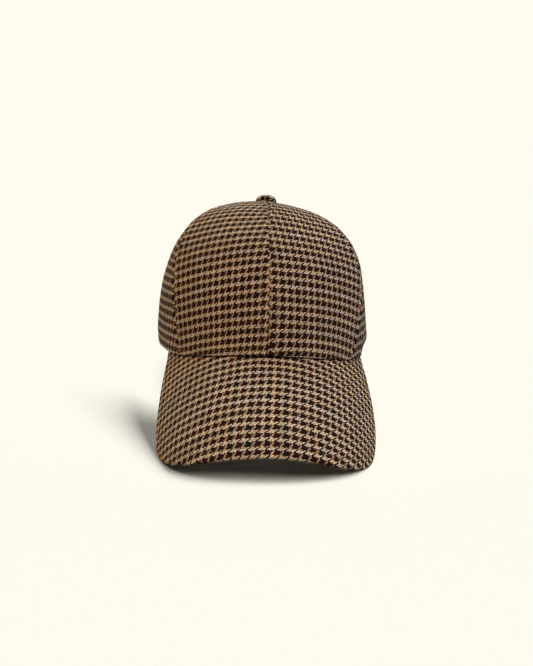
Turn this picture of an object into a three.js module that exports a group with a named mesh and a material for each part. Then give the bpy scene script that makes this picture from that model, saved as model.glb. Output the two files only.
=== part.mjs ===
// A soft six-panel cap with a curved brim, as it lies on a table: the two front corners of the
// brim and the back of the hem touch the surface.
//
// Everything is first built in the frame of the rim: the hem is level, its centre is the origin,
// the front of the cap looks along -Y and +Z is up. The whole cap is then tipped back by its
// resting angle and moved so that it stands on z = 0. Left and right are as seen from the front,
// so left is -X. Lengths are millimetres, and angles are degrees unless a name says otherwise.

import * as THREE from 'three';

// ---------------------------------------------------------------- driving dimensions

// Rim: two half ellipses that share their width
const RIM_HALF_WIDTH = 80;
const RIM_FRONT = 103.5;
const RIM_BACK = 101.5;

// Crown
const CROWN_HEIGHT = 118.5;
const APEX_Y = -5;
// The soft crown leans to the left, and its right shoulder sags
const CROWN_LEAN = -0.5;
const CROWN_SAG = 1.4;
const CLOTH = 2;
const GAP = 0.3;
const HEM_GAP = 0.4;
// The panels stop just short of the apex
const TOP_SHARE = 0.9992;
// The share of the height over which the cloth leaves the outline of the rim
const HEM_BLEND = 0.2;
// How far the back of the hem gives when it lies on the table
const HEM_FLAT = 2;

// The hem arches up over each temple, higher on the right. A small skew brings the top of the
// arch close behind the brim's end.
const HEM_ARCHES = {
  left: { rise: 7, skew: 0.6 },
  right: { rise: 14, skew: 0.42 },
};
const HEM_ARCH_EASE = 1.5;

const bothSides = (value) => ({ left: value, right: value });

// Seams, from the front round to the back: the angle from the front where each one meets the rim,
// and its line up to the button. The line sweeps back by some degrees halfway up, and drifts back
// by some more towards the top, later with a larger ease. A large rise keeps the wall upright for
// longer, and a small round lets the top come to a point.
const straightSeam = (rise, round) => bothSides({ sweep: 0, drift: 0, ease: 1, rise, round });
const SEAMS = [
  { name: 'front', angle: 0, line: straightSeam(2.37, 2.23) },
  {
    name: 'front_side',
    angle: 48.8,
    line: {
      left: { sweep: 5.2, drift: 9.7, ease: 1, rise: 5.03, round: 1.926 },
      right: { sweep: 8.7, drift: 21.2, ease: 1.55, rise: 4.46, round: 1.837 },
    },
  },
  { name: 'back_side', angle: 121, line: straightSeam(2.5, 2.44) },
  { name: 'back', angle: 180, line: straightSeam(2.2, 2.2) },
];

// Panels between two seams: how far the cloth bows out, as a share of the panel's width, at the
// hem, halfway up and at the top
const PANELS = [
  {
    name: 'front_panel',
    from: 0,
    to: 1,
    bow: { left: [0.081, 0.076, 0.036], right: [0.064, 0.104, 0.038] },
  },
  {
    name: 'side_panel',
    from: 1,
    to: 2,
    bow: { left: [0.182, 0.13, 0.048], right: [0.157, 0.081, 0.091] },
  },
  { name: 'back_panel', from: 2, to: 3, bow: bothSides([0.126, 0.126, 0.126]) },
];

// Brim: a curled sheet that leaves the rim at an angle and steepens towards the front. Its flat
// outline runs forward from the rim along two nearly straight flanks, then round a superellipse.
const BRIM_THICKNESS = 3.2;
const BRIM_PITCH = 38.5;
const BRIM_STEEPENING = 8.31;
const BRIM_LENGTH = 81.7;
const BRIM_SIDES = {
  left: { halfWidth: 86.8, widestAt: 32.6, round: 2.4, flank: 1.49 },
  right: { halfWidth: 89.9, widestAt: 14.9, round: 2.74, flank: 1.3 },
};
const BRIM_FLANK_SHARE = 0.35;
const BRIM_CURL_ROOT = 88.5;
const BRIM_CURL_FRONT = 73.17;
const BRIM_PAST_SEAM = 11.4;
const BRIM_HEM_FADE = 3;
const BRIM_EDGE_ROUND = 1.2;

// Sweatband, which reaches up over the lowest rows of the panels
const BAND_THICKNESS = 1.2;
const BAND_RECESS = 2;
const BAND_STEP_BACK = 6;

// Button on top
const BUTTON_RADIUS = 8.4;
const BUTTON_HEIGHT = 6.3;
const BUTTON_SKIRT = 1.6;
const BUTTON_STEM_RADIUS = 1.8;
const BUTTON_STEM_LENGTH = 3.2;
const BUTTON_SEAT = 1.5;

// How finely each surface is divided
const PANEL_COLUMNS = 8;
const PANEL_ROWS = 23;
const BAND_ROWS = 4;
const BRIM_ROWS = 8;
const BRIM_EDGE_STEPS = 4 * (PANEL_COLUMNS + 1);
const BUTTON_SIDES = 28;
const BUTTON_STEPS = 7;

// ---------------------------------------------------------------- small helpers

const radians = THREE.MathUtils.degToRad;
const mix = THREE.MathUtils.lerp;
const steps = (count) => Array.from({ length: count + 1 }, (_, i) => i / count);
const WELD_DIGITS = 3;

// A closed body between two grids of points that have the same rows and columns. The first grid
// is the outside: its rows run upwards or outwards, and its columns run to the right. Where the
// two grids meet, or a row shrinks to a point, the points are one, and nothing closes the gap.
function bodyBetween(outer, inner, isRing = false) {
  const rows = outer.length;
  const columns = outer[0].length;
  const innerStart = rows * columns;
  const points = [];
  const numberOf = new Map();
  const numbers = [...outer.flat(), ...inner.flat()].map((point) => {
    const key = point.toArray().map((value) => value.toFixed(WELD_DIGITS)).join();
    if (!numberOf.has(key)) numberOf.set(key, points.push(point) - 1);
    return numberOf.get(key);
  });
  const index = [];
  const at = (side, row, column) => numbers[side * innerStart + row * columns + (column % columns)];
  const triangle = (a, b, c) => {
    if (a !== b && b !== c && c !== a) index.push(a, b, c);
  };
  const quad = (a, b, c, d) => {
    triangle(a, b, c);
    triangle(a, c, d);
  };
  const lastColumn = isRing ? columns : columns - 1;
  for (let row = 0; row < rows - 1; row += 1) {
    for (let column = 0; column < lastColumn; column += 1) {
      const next = column + 1;
      quad(at(0, row, column), at(0, row, next), at(0, row + 1, next), at(0, row + 1, column));
      quad(at(1, row, column), at(1, row + 1, column), at(1, row + 1, next), at(1, row, next));
    }
  }
  for (let column = 0; column < lastColumn; column += 1) {
    quad(at(1, 0, column), at(1, 0, column + 1), at(0, 0, column + 1), at(0, 0, column));
    const top = rows - 1;
    quad(at(0, top, column), at(0, top, column + 1), at(1, top, column + 1), at(1, top, column));
  }
  for (let row = 0; row < rows - 1 && !isRing; row += 1) {
    const right = columns - 1;
    quad(at(0, row, 0), at(0, row + 1, 0), at(1, row + 1, 0), at(1, row, 0));
    quad(at(0, row, right), at(1, row, right), at(1, row + 1, right), at(0, row + 1, right));
  }
  const places = points.flatMap((point) => point.toArray());
  const geometry = new THREE.BufferGeometry();
  geometry.setAttribute('position', new THREE.Float32BufferAttribute(places, 3));
  geometry.setIndex(index);
  geometry.computeVertexNormals();
  return geometry;
}

// ---------------------------------------------------------------- brim surface

// Where the rim passes at an angle from the front, drawn in by an inset
function rimPoint(angle, inset = 0) {
  const turn = radians(angle);
  const depth = Math.cos(turn) > 0 ? RIM_FRONT : RIM_BACK;
  return new THREE.Vector2((RIM_HALF_WIDTH - inset) * Math.sin(turn), (inset - depth) * Math.cos(turn));
}

// A point of the brim from its flat coordinates: across is measured round the curl from the
// middle line, along is measured forward from the rim, and depth goes down through the brim.
// It is given before the brim is raised to meet the hem.
function brimSheet(across, along, depth = 0) {
  const pitch = radians(BRIM_PITCH);
  const bend = radians(BRIM_STEEPENING) / BRIM_LENGTH;
  const slope = pitch + bend * along;
  const forward = (Math.sin(slope) - Math.sin(pitch)) / bend;
  const drop = (Math.cos(slope) - Math.cos(pitch)) / bend;
  const curl = mix(BRIM_CURL_ROOT, BRIM_CURL_FRONT, along / BRIM_LENGTH);
  const turn = across / curl;
  const sink = curl * (1 - Math.cos(turn)) + depth * Math.cos(turn);
  return new THREE.Vector3(
    (curl - depth) * Math.sin(turn),
    -RIM_FRONT - forward + sink * Math.sin(slope),
    drop - sink * Math.cos(slope),
  );
}

// The flat coordinates of the brim point that lies, in plan, at a place on the rim
function brimUnder(plan, depth = 0) {
  const passes = 40;
  let across = plan.x;
  let along = 0;
  for (let pass = 0; pass < passes; pass += 1) {
    const curl = mix(BRIM_CURL_ROOT, BRIM_CURL_FRONT, along / BRIM_LENGTH);
    across = curl * Math.asin(plan.x / (curl - depth));
    const slope = radians(BRIM_PITCH + (BRIM_STEEPENING * along) / BRIM_LENGTH);
    along += (brimSheet(across, along, depth).y - plan.y) / Math.cos(slope);
  }
  return new THREE.Vector2(across, along);
}

const BRIM_END_ANGLE = SEAMS[1].angle + BRIM_PAST_SEAM;
const brimHeightUnder = (plan) => {
  const flat = brimUnder(plan);
  return brimSheet(flat.x, flat.y).z;
};
// The brim is raised so that, at its two ends, the hem above it is level with the hem behind
const BRIM_RAISE = -HEM_GAP - brimHeightUnder(rimPoint(BRIM_END_ANGLE));
const brimPoint = (across, along, depth) => {
  const point = brimSheet(across, along, depth);
  return point.setZ(point.z + BRIM_RAISE);
};

// ---------------------------------------------------------------- crown surface

// Height of the hem: it sits on the brim at the front, and arches over each side behind it
function hemHeight(angle, inset = 0) {
  const fromFront = Math.min(Math.abs(angle), BRIM_END_ANGLE);
  const onBrim = brimHeightUnder(rimPoint(fromFront, inset)) + BRIM_RAISE + HEM_GAP;
  const pastEnd = Math.max(Math.abs(angle) - BRIM_END_ANGLE, 0);
  const { rise, skew } = angle < 0 ? HEM_ARCHES.left : HEM_ARCHES.right;
  const way = (pastEnd / (180 - BRIM_END_ANGLE)) ** skew;
  const arch = rise * Math.max(Math.sin(Math.PI * way), 0) ** HEM_ARCH_EASE;
  return onBrim * Math.exp(-pastEnd / BRIM_HEM_FADE) + arch;
}

// A point of a seam, at a share of the height from hem to apex
function seamPoint(seam, side, share) {
  const line = side < 0 ? seam.line.left : seam.line.right;
  const back = line.sweep * Math.sin(Math.PI * share) + line.drift * share ** line.ease;
  const foot = rimPoint(side * (seam.angle + back));
  const footHeight = hemHeight(side * seam.angle);
  const spread = Math.max(1 - share ** line.rise, 0) ** (1 / line.round);
  return new THREE.Vector3(
    foot.x * spread,
    mix(APEX_Y, foot.y, spread),
    mix(footHeight, CROWN_HEIGHT, share),
  );
}

// The direction in which a panel bows out, square to the straight line between its two seams
function bowDirection(panel, side, share) {
  const step = 0.002;
  const low = Math.min(Math.max(share, step), 1 - 2 * step);
  const middle = (height) => seamPoint(SEAMS[panel.from], side, height)
    .add(seamPoint(SEAMS[panel.to], side, height))
    .multiplyScalar(0.5);
  const chord = seamPoint(SEAMS[panel.to], side, low).sub(seamPoint(SEAMS[panel.from], side, low));
  const climb = middle(low + step).sub(middle(low - step));
  return chord.cross(climb).normalize().multiplyScalar(side);
}

// Cloth of one panel: across runs from 0 at its front seam to 1 at its back seam, and share is
// the share of the height
function panelPoint(panel, side, across, share) {
  const front = SEAMS[panel.from];
  const back = SEAMS[panel.to];
  const chordPoint = (height) => {
    const end = seamPoint(back, side, height);
    return seamPoint(front, side, height).lerp(end, across);
  };
  const bowedPoint = (height) => {
    const width = seamPoint(front, side, height).distanceTo(seamPoint(back, side, height));
    const [hem, half, top] = side < 0 ? panel.bow.left : panel.bow.right;
    const bow = height < 0.5 ? mix(hem, half, 2 * height) : mix(half, top, 2 * height - 1);
    const out = bow * width * 4 * across * (1 - across);
    return chordPoint(height).addScaledVector(bowDirection(panel, side, height), out);
  };
  // Close to the hem the cloth follows the rim itself
  const angle = side * mix(front.angle, back.angle, across);
  const foot = rimPoint(angle);
  const onRim = new THREE.Vector3(foot.x, foot.y, hemHeight(angle));
  const point = bowedPoint(share);
  point.addScaledVector(onRim.sub(bowedPoint(0)), Math.exp(-share / HEM_BLEND));
  const high = (Math.max(point.z, 0) / CROWN_HEIGHT) ** 2;
  point.z -= CROWN_SAG * high * (point.x / RIM_HALF_WIDTH);
  point.x += CROWN_LEAN * high;
  return point;
}

// Outward direction of one panel's cloth
function panelNormal(panel, side, across, share) {
  const step = 0.004;
  const low = Math.max(across - step, 0);
  const high = Math.min(across + step, 1);
  const base = Math.max(share - step, 0);
  const top = Math.min(share + step, 1);
  const sideways = panelPoint(panel, side, high, share).sub(panelPoint(panel, side, low, share));
  const upward = panelPoint(panel, side, across, top).sub(panelPoint(panel, side, across, base));
  return sideways.cross(upward).normalize().multiplyScalar(side);
}

// At a seam both panels share one outward direction, so that their edges stay side by side
function seamNormal(seamNumber, side, share) {
  const sum = new THREE.Vector3();
  const sides = SEAMS[seamNumber].angle % 180 === 0 ? [-1, 1] : [side];
  for (const each of sides) {
    for (const panel of PANELS) {
      if (panel.from === seamNumber) sum.add(panelNormal(panel, each, 0, share));
      if (panel.to === seamNumber) sum.add(panelNormal(panel, each, 1, share));
    }
  }
  return sum.normalize();
}

function clothNormal(panel, side, across, share) {
  const reach = 1 / PANEL_COLUMNS;
  const own = panelNormal(panel, side, across, share);
  const nearFront = Math.max(1 - across / reach, 0);
  const nearBack = Math.max(1 - (1 - across) / reach, 0);
  own.lerp(seamNormal(panel.from, side, share), nearFront);
  own.lerp(seamNormal(panel.to, side, share), nearBack);
  return own.normalize();
}

// The rows of a panel lie closer together towards the top, where it curves most
const rowShare = (row) => TOP_SHARE * Math.sin((row / PANEL_ROWS) * (Math.PI / 2));

// The columns of a panel. In the side panels the first one moves to where the brim ends.
function panelColumns(panel) {
  const even = steps(PANEL_COLUMNS);
  const start = SEAMS[panel.from].angle;
  const brimEnd = (BRIM_END_ANGLE - start) / (SEAMS[panel.to].angle - start);
  return brimEnd > 0 && brimEnd < even[2] ? [0, brimEnd, ...even.slice(2)] : even;
}

// A point at a distance below the outer face of the cloth. The foot of the cloth is cut to the
// slope of the brim that it sits on.
function insidePanel(panel, side, across, share, depth) {
  const point = panelPoint(panel, side, across, share);
  point.addScaledVector(clothNormal(panel, side, across, share), -depth);
  if (share === 0) {
    const angle = side * mix(SEAMS[panel.from].angle, SEAMS[panel.to].angle, across);
    point.z = hemHeight(angle, depth);
  }
  return point;
}

// ---------------------------------------------------------------- brim outline

// The flat outline of one half of the brim, from its end at the rim to the middle of the front
const BRIM_END = brimUnder(rimPoint(BRIM_END_ANGLE));

function brimHalfOutline(side, share) {
  const { halfWidth, widestAt, round, flank } = side;
  if (share < BRIM_FLANK_SHARE) {
    const along = mix(BRIM_END.y, widestAt, share / BRIM_FLANK_SHARE);
    const left = (widestAt - along) / (widestAt - BRIM_END.y);
    return new THREE.Vector2(halfWidth - (halfWidth - BRIM_END.x) * left ** flank, along);
  }
  const turn = radians((90 * (share - BRIM_FLANK_SHARE)) / (1 - BRIM_FLANK_SHARE));
  return new THREE.Vector2(
    halfWidth * Math.cos(turn) ** (2 / round),
    mix(widestAt, BRIM_LENGTH, Math.sin(turn) ** (2 / round)),
  );
}

// The whole outline, from the left end round the front to the right end
class BrimOutline extends THREE.Curve {
  getPoint(share, target = new THREE.Vector2()) {
    const side = share < 0.5 ? BRIM_SIDES.left : BRIM_SIDES.right;
    const half = brimHalfOutline(side, 1 - Math.abs(2 * share - 1));
    return target.set(Math.sign(share - 0.5) * half.x, half.y);
  }
}

// Points spaced evenly along the outline. An inset moves them inwards, and fades out over the
// last quarter at each end.
function outlinePoints(count, inset) {
  const outline = new BrimOutline();
  return steps(count).map((share) => {
    const point = outline.getPointAt(share);
    const tangent = outline.getTangentAt(share);
    const fade = Math.min(1, 4 * Math.min(share, 1 - share));
    return point.add(new THREE.Vector2(tangent.y, -tangent.x).multiplyScalar(inset * fade));
  });
}

// ---------------------------------------------------------------- resting on the table

// The cap tips back until the brim's lowest corners and the back of the hem are level. The hem
// gives a little, so it rests a little above its own lowest line.
const HEM_REST = { y: RIM_BACK, z: HEM_FLAT };

function restingTilt() {
  const middle = outlinePoints(BRIM_EDGE_STEPS, 0)
    .map((flat) => brimPoint(flat.x, flat.y, BRIM_THICKNESS / 2));
  const underside = outlinePoints(BRIM_EDGE_STEPS, BRIM_EDGE_ROUND)
    .map((flat) => brimPoint(flat.x, flat.y, BRIM_THICKNESS));
  const slopes = [...middle, ...underside]
    .map((edge) => Math.atan2(HEM_REST.z - edge.z, HEM_REST.y - edge.y));
  return Math.max(...slopes);
}

const REST_TILT = restingTilt();

// Cloth that would reach below the table is pushed up the wall until it lies flat on it
function flattenOnTable(point) {
  const table = HEM_REST.z - (HEM_REST.y - point.y) * Math.tan(REST_TILT);
  return point.setZ(Math.max(point.z, table));
}

// ---------------------------------------------------------------- the pieces

function panelGeometry(panel, side) {
  // The top stops short of the apex, so that the six points leave a hole for the button's stem
  const grid = (depth) => steps(PANEL_ROWS).map((step) => {
    const share = rowShare(step * PANEL_ROWS);
    const width = seamPoint(SEAMS[panel.from], side, share)
      .distanceTo(seamPoint(SEAMS[panel.to], side, share));
    const margin = GAP / 2 / width;
    const columns = panelColumns(panel).map((across) => margin + (1 - 2 * margin) * across);
    if (side < 0) columns.reverse();
    return columns.map((across) => flattenOnTable(insidePanel(panel, side, across, share, depth)));
  });
  return bodyBetween(grid(0), grid(CLOTH));
}

// The brim's back edge follows the columns of the hem, so that the cloth sits evenly on it
function brimGeometry() {
  const half = [...steps(PANEL_COLUMNS).map((share) => share * SEAMS[1].angle), BRIM_END_ANGLE];
  const angles = [...half.slice(1).reverse().map((angle) => -angle), ...half];
  const withMiddles = (points) => points.flatMap((point, i) => (
    i === 0 ? [point] : [points[i - 1].clone().lerp(point, 0.5), point]
  ));
  const underHem = (inset, depth) => withMiddles(angles.map((angle) => {
    const flat = brimUnder(rimPoint(angle, inset), depth);
    return brimPoint(flat.x, flat.y, depth);
  }));
  const flatStart = withMiddles(angles.map((angle) => brimUnder(rimPoint(angle))));
  const flatEnd = outlinePoints(BRIM_EDGE_STEPS, BRIM_EDGE_ROUND);
  const face = (depth) => {
    const rows = steps(BRIM_ROWS).slice(1).map((share) => flatStart.map((start, i) => {
      const flat = start.clone().lerp(flatEnd[i], share);
      return brimPoint(flat.x, flat.y, depth);
    }));
    return [underHem(CLOTH, depth), underHem(0, depth), ...rows];
  };
  const edge = outlinePoints(BRIM_EDGE_STEPS, 0)
    .map((flat) => brimPoint(flat.x, flat.y, BRIM_THICKNESS / 2));
  return bodyBetween([...face(0), edge].reverse(), [...face(BRIM_THICKNESS), edge].reverse());
}

// The lower edge of the sweatband: tucked up behind the hem, but down to the brim at the front
function bandFoot(angle) {
  const stepStart = BRIM_END_ANGLE - BAND_STEP_BACK;
  const behind = THREE.MathUtils.smoothstep(Math.abs(angle), stepStart, BRIM_END_ANGLE);
  return hemHeight(angle, CLOTH) + mix(-BRIM_THICKNESS, BAND_RECESS, behind);
}

function bandGeometry() {
  const spots = [];
  for (const panel of PANELS) {
    const columns = panelColumns(panel).slice(0, -1);
    for (const across of columns) spots.push({ panel, side: 1, across });
  }
  for (const panel of [...PANELS].reverse()) {
    const columns = panelColumns(panel).reverse().slice(0, -1);
    for (const across of columns) spots.push({ panel, side: -1, across });
  }
  const grid = (depth) => steps(BAND_ROWS).map((step) => spots.map(({ panel, side, across }) => {
    const point = insidePanel(panel, side, across, rowShare(step * BAND_ROWS), depth);
    const foot = bandFoot(side * mix(SEAMS[panel.from].angle, SEAMS[panel.to].angle, across));
    return step === 0 ? point.setZ(foot) : point;
  }));
  const outside = CLOTH + GAP;
  return bodyBetween(grid(outside), grid(outside + BAND_THICKNESS), true);
}

// A domed button on a short stem that goes down through the hole in the crown
function buttonGeometry() {
  const profile = [
    [0, -BUTTON_STEM_LENGTH],
    [BUTTON_STEM_RADIUS, -BUTTON_STEM_LENGTH],
    [BUTTON_STEM_RADIUS, 0],
    [BUTTON_RADIUS - BUTTON_SKIRT / 2, 0],
  ].map(([radius, height]) => new THREE.Vector2(radius, height));
  for (const step of steps(BUTTON_STEPS)) {
    const turn = (step * Math.PI) / 2;
    profile.push(new THREE.Vector2(
      BUTTON_RADIUS * Math.cos(turn),
      BUTTON_SKIRT / 2 + (BUTTON_HEIGHT - BUTTON_SKIRT / 2) * Math.sin(turn),
    ));
  }
  return new THREE.LatheGeometry(profile, BUTTON_SIDES).rotateX(Math.PI / 2);
}

// ---------------------------------------------------------------- finishes

const CHECKED_CLOTH = { color: 0x6f5a45, roughness: 0.95, metalness: 0 };
const BAND_CLOTH = { color: 0x2b2623, roughness: 0.9, metalness: 0 };

function piece(name, geometry, finish) {
  const mesh = new THREE.Mesh(geometry, new THREE.MeshStandardMaterial(finish));
  mesh.name = name;
  return mesh;
}

// ---------------------------------------------------------------- the whole cap

const crown = new THREE.Group();
for (const panel of PANELS) {
  crown.add(piece(`${panel.name}_left`, panelGeometry(panel, -1), CHECKED_CLOTH));
  crown.add(piece(`${panel.name}_right`, panelGeometry(panel, 1), CHECKED_CLOTH));
}

const button = piece('top_button', buttonGeometry(), CHECKED_CLOTH);
button.position.set(CROWN_LEAN, APEX_Y, CROWN_HEIGHT + BUTTON_SEAT);
crown.add(button);

const cap = new THREE.Group();
cap.add(crown);
cap.add(piece('brim', brimGeometry(), CHECKED_CLOTH));
cap.add(piece('sweatband', bandGeometry(), BAND_CLOTH));
cap.rotation.x = -REST_TILT;

// The origin is on the table, under the middle of the cap
const part = new THREE.Group();
part.add(cap);
const extent = new THREE.Box3().setFromObject(part, true);
const middle = extent.getCenter(new THREE.Vector3());
cap.position.set(-middle.x, -middle.y, -extent.min.z);

export default part;
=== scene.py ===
# A soft six-panel cap in houndstooth wool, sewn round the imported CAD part: the cloth of the crown
# with its seams and folded hem, the curled brim, the covered button, the sweatband and every
# stitch, then the floor, the light and the camera.
#
# Shapes are worked out in millimetres in the frame of the rim, as in the CAD part: the hem is
# level, its centre is the origin, the front of the cap looks along -Y and +Z is up. Left is -X,
# as seen from the front. The whole cap is then tipped back on to the floor.

import math

import bpy
import numpy as np
from bpy.props import FloatProperty, FloatVectorProperty, IntProperty, PointerProperty
from mathutils import Matrix, Vector


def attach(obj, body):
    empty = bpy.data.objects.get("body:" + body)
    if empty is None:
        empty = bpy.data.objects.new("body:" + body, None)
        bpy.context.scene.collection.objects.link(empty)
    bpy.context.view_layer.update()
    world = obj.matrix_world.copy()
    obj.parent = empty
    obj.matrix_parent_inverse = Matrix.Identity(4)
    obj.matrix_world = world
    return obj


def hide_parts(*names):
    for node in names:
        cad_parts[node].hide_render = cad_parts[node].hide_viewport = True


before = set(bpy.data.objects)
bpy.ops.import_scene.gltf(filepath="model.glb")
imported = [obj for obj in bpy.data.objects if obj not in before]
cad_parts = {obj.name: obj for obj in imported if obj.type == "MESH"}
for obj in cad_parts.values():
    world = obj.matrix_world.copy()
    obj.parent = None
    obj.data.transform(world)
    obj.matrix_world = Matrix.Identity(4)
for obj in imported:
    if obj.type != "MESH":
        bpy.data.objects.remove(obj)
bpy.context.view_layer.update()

bl_info = {
    "name": "Houndstooth cap",
    "version": (1, 0, 0),
    "blender": (4, 5, 0),
    "location": "3D View > Sidebar > Cap",
    "description": "Sews a houndstooth cap round its CAD frame and lights it",
    "category": "Object",
}

# ------------------------------------------------------------------ shape of the cap, in mm

# The rim, seen from above: two half ovals that meet at the sides
RIM_HALF_WIDTH = 80.0
RIM_FRONT = 103.5
RIM_BACK = 101.5
# The crown: how high it is, where it is highest, how far its top leans to the right, and how far
# it sags on the right and rises on the left
CROWN_HEIGHT = 118.5
APEX_Y = -5.0
CROWN_LEAN = -0.5
CROWN_SAG = 1.4
CLOTH = 2.0
# Share of the height at which the six points stop, round the button's stem
TOP_SHARE = 0.9992
# The hem: its gap over the brim, the share of the height over which a panel follows it, how far
# the cloth is flattened where it lies on the floor, and its arches on the left and on the right:
# height and skew
HEM_GAP = 0.4
HEM_BLEND = 0.2
HEM_FLAT = 2.0
HEM_ARCHES = {-1: (7.0, 0.6), 1: (14.0, 0.42)}
HEM_ARCH_EASE = 1.5

# Seams from the front round to the back: the angle from the front where each meets the rim, and
# its line up to the button on the left and on the right: sweep, drift, ease, rise and round
SEAM_ANGLES = (0, 48.8, 121, 180)
SEAM_LINES = (
    {-1: (0, 0, 1, 2.37, 2.23), 1: (0, 0, 1, 2.37, 2.23)},
    {-1: (5.2, 9.7, 1, 5.03, 1.926), 1: (8.7, 21.2, 1.55, 4.46, 1.837)},
    {-1: (0, 0, 1, 2.5, 2.44), 1: (0, 0, 1, 2.5, 2.44)},
    {-1: (0, 0, 1, 2.2, 2.2), 1: (0, 0, 1, 2.2, 2.2)},
)
# Panels: the seams they run between, and their bow at the hem, halfway up and at the top
PANELS = {
    "front": (0, 1, {-1: (0.081, 0.076, 0.036), 1: (0.064, 0.104, 0.038)}),
    "side": (1, 2, {-1: (0.182, 0.13, 0.048), 1: (0.157, 0.081, 0.091)}),
    "back": (2, 3, {-1: (0.126, 0.126, 0.126), 1: (0.126, 0.126, 0.126)}),
}
# Columns of a panel in the CAD part: over the last one, its outward direction turns to the seam's
CAD_COLUMNS = 8

BRIM_THICKNESS = 3.2
# How steeply the brim slopes down at the rim, how much steeper it gets, and its length
BRIM_PITCH = math.radians(38.5)
BRIM_STEEPENING = math.radians(8.31)
BRIM_LENGTH = 81.7
# Half width, how far forward it is widest, squareness of the corner and swell of the flank
BRIM_SIDES = {-1: (86.8, 32.6, 2.4, 1.49), 1: (89.9, 14.9, 2.74, 1.3)}
BRIM_FLANK_SHARE = 0.35
# Radius of its curl at the rim and at its edge
BRIM_CURL_ROOT = 88.5
BRIM_CURL_FRONT = 73.17
# Where it ends on the rim, past the front seam, and over how many degrees the hem leaves it
BRIM_END_ANGLE = SEAM_ANGLES[1] + 11.4
BRIM_HEM_FADE = 3.0

# The sweatband: how far its foot is above the hem behind the brim, over how many degrees it steps
# down to the brim's underside, and its gap inside the cloth
BAND_THICKNESS = 1.2
BAND_RECESS = 2.0
BAND_STEP_BACK = 6.0
BAND_GAP = 0.3
# It ends level with the fourth of the crown's 23 steps
BAND_TOP_SHARE = TOP_SHARE * math.sin(4 / 23 * math.pi / 2)

# The button: the height of its rounded edge, and the radius and length of its stem
BUTTON_RADIUS = 8.4
BUTTON_HEIGHT = 6.3
BUTTON_SKIRT = 1.6
BUTTON_STEM = (1.8, 3.2)
BUTTON_AT = (CROWN_LEAN, APEX_Y, CROWN_HEIGHT + 1.5)

# How the cap lies: tipped back about X, then moved so that the floor is z = 0
REST_TILT = 0.3030859506
REST_SHIFT = (1.09087753, 33.92049170, 28.38555243)
MM = 0.001

# ------------------------------------------------------------------ how the cloth was cut

# Repeats of the check, and the threads in one
REPEAT_ACROSS = 5.3
REPEAT_ALONG = 6.1
THREADS = 8

# Where the front pieces' cloth was measured, its lay is a gentle bend: repeats as a sum of
# x, y, 1, xx, xy, yy, xxx, xxy, xyy and yyy, with x and y in units of 100 mm on the flat cloth.
# The bend goes straight on outside the patch (x from, x to, y from, y to).
LAY_FRONT_LEFT = (
    (22.231, -6.137, 7.544, -2.753, -7.493, 7.559, -3.473, -1.616, 3.269, -4.435),
    (-1.422, -18.2, 8.431, 0.046, 1.905, 3.944, 0.461, 1.7, -0.612, -2.581),
    (-0.6, -0.04, 0.11, 1.04),
)
LAY_FRONT_RIGHT = (
    (15.204, 0.908, -6.023, 8.748, 5.559, 2.716, -2.09, -12.683, -0.122, -1.883),
    (4.053, -15.089, 7.491, -1.24, -4.302, -2.255, -2.369, 7.189, -0.044, 1.601),
    (0.02, 0.66, 0.12, 1),
)
LAY_BRIM = (
    (18.889, 0.18, -1.07, -0.895, -1.134, 3.23, 3.15, 1.223, -0.041, -3.186),
    (0.209, 16.023, -6.47, -0.914, -0.726, -0.421, -0.321, 0.592, 0.078, 0.842),
    (-0.67, 0.76, -0.24, 0.74),
)
STRAIGHT = (-0.5, 0.5, 0.0, 1.0)


def straight_lay(shift_across, shift_along, turn=0.0, repeat_along=REPEAT_ALONG):
    """A piece cut with its grain straight up its middle, or turned from it by some degrees."""
    cos, sin = math.cos(math.radians(turn)), math.sin(math.radians(turn))
    across, along = 100 / REPEAT_ACROSS, 100 / repeat_along
    return (
        (across * cos, across * sin, shift_across) + (0,) * 7,
        (along * sin, -along * cos, shift_along) + (0,) * 7,
        STRAIGHT,
    )


LAYS = {
    ("front", -1): LAY_FRONT_LEFT,
    ("front", 1): LAY_FRONT_RIGHT,
    ("side", -1): straight_lay(0.2, 0.4, -12, 5.8),
    ("side", 1): straight_lay(0.6, 0.1, 19, 5.8),
    ("back", -1): straight_lay(0.35, 0.7),
    ("back", 1): straight_lay(0.8, 0.25),
}

# ------------------------------------------------------------------ surfaces, in the rim frame


def lerp(a, b, share):
    """a where share is 0, and b where it is 1."""
    return a + (b - a) * share


def smooth(value, low, high):
    """Eases from 0 at a low value to 1 at a high one."""
    t = np.clip((value - low) / (high - low), 0, 1)
    return t * t * (3 - 2 * t)


def unit(vectors):
    """The vectors made one long."""
    return vectors / np.maximum(np.linalg.norm(vectors, axis=-1, keepdims=True), 1e-9)


def ridge(value, middle, width):
    """A smooth ridge, 1 at its middle and gone within about two widths."""
    return np.exp(-(((value - middle) / width) ** 2))


def lengths_along(points, axis):
    """Distances along the lines of a grid of points, from 0 at their start."""
    steps = np.linalg.norm(np.diff(points, axis=axis), axis=-1).cumsum(axis)
    return np.concatenate([np.zeros_like(steps.take([0], axis)), steps], axis)


def rim_plan(angle, inset=0.0):
    """The rim seen from above, at an angle from the front and some mm inside it."""
    turn = np.radians(angle)
    depth = np.where(np.cos(turn) > 0, RIM_FRONT, RIM_BACK)
    x = (RIM_HALF_WIDTH - inset) * np.sin(turn)
    return np.stack([x, (inset - depth) * np.cos(turn)], -1)


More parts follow.
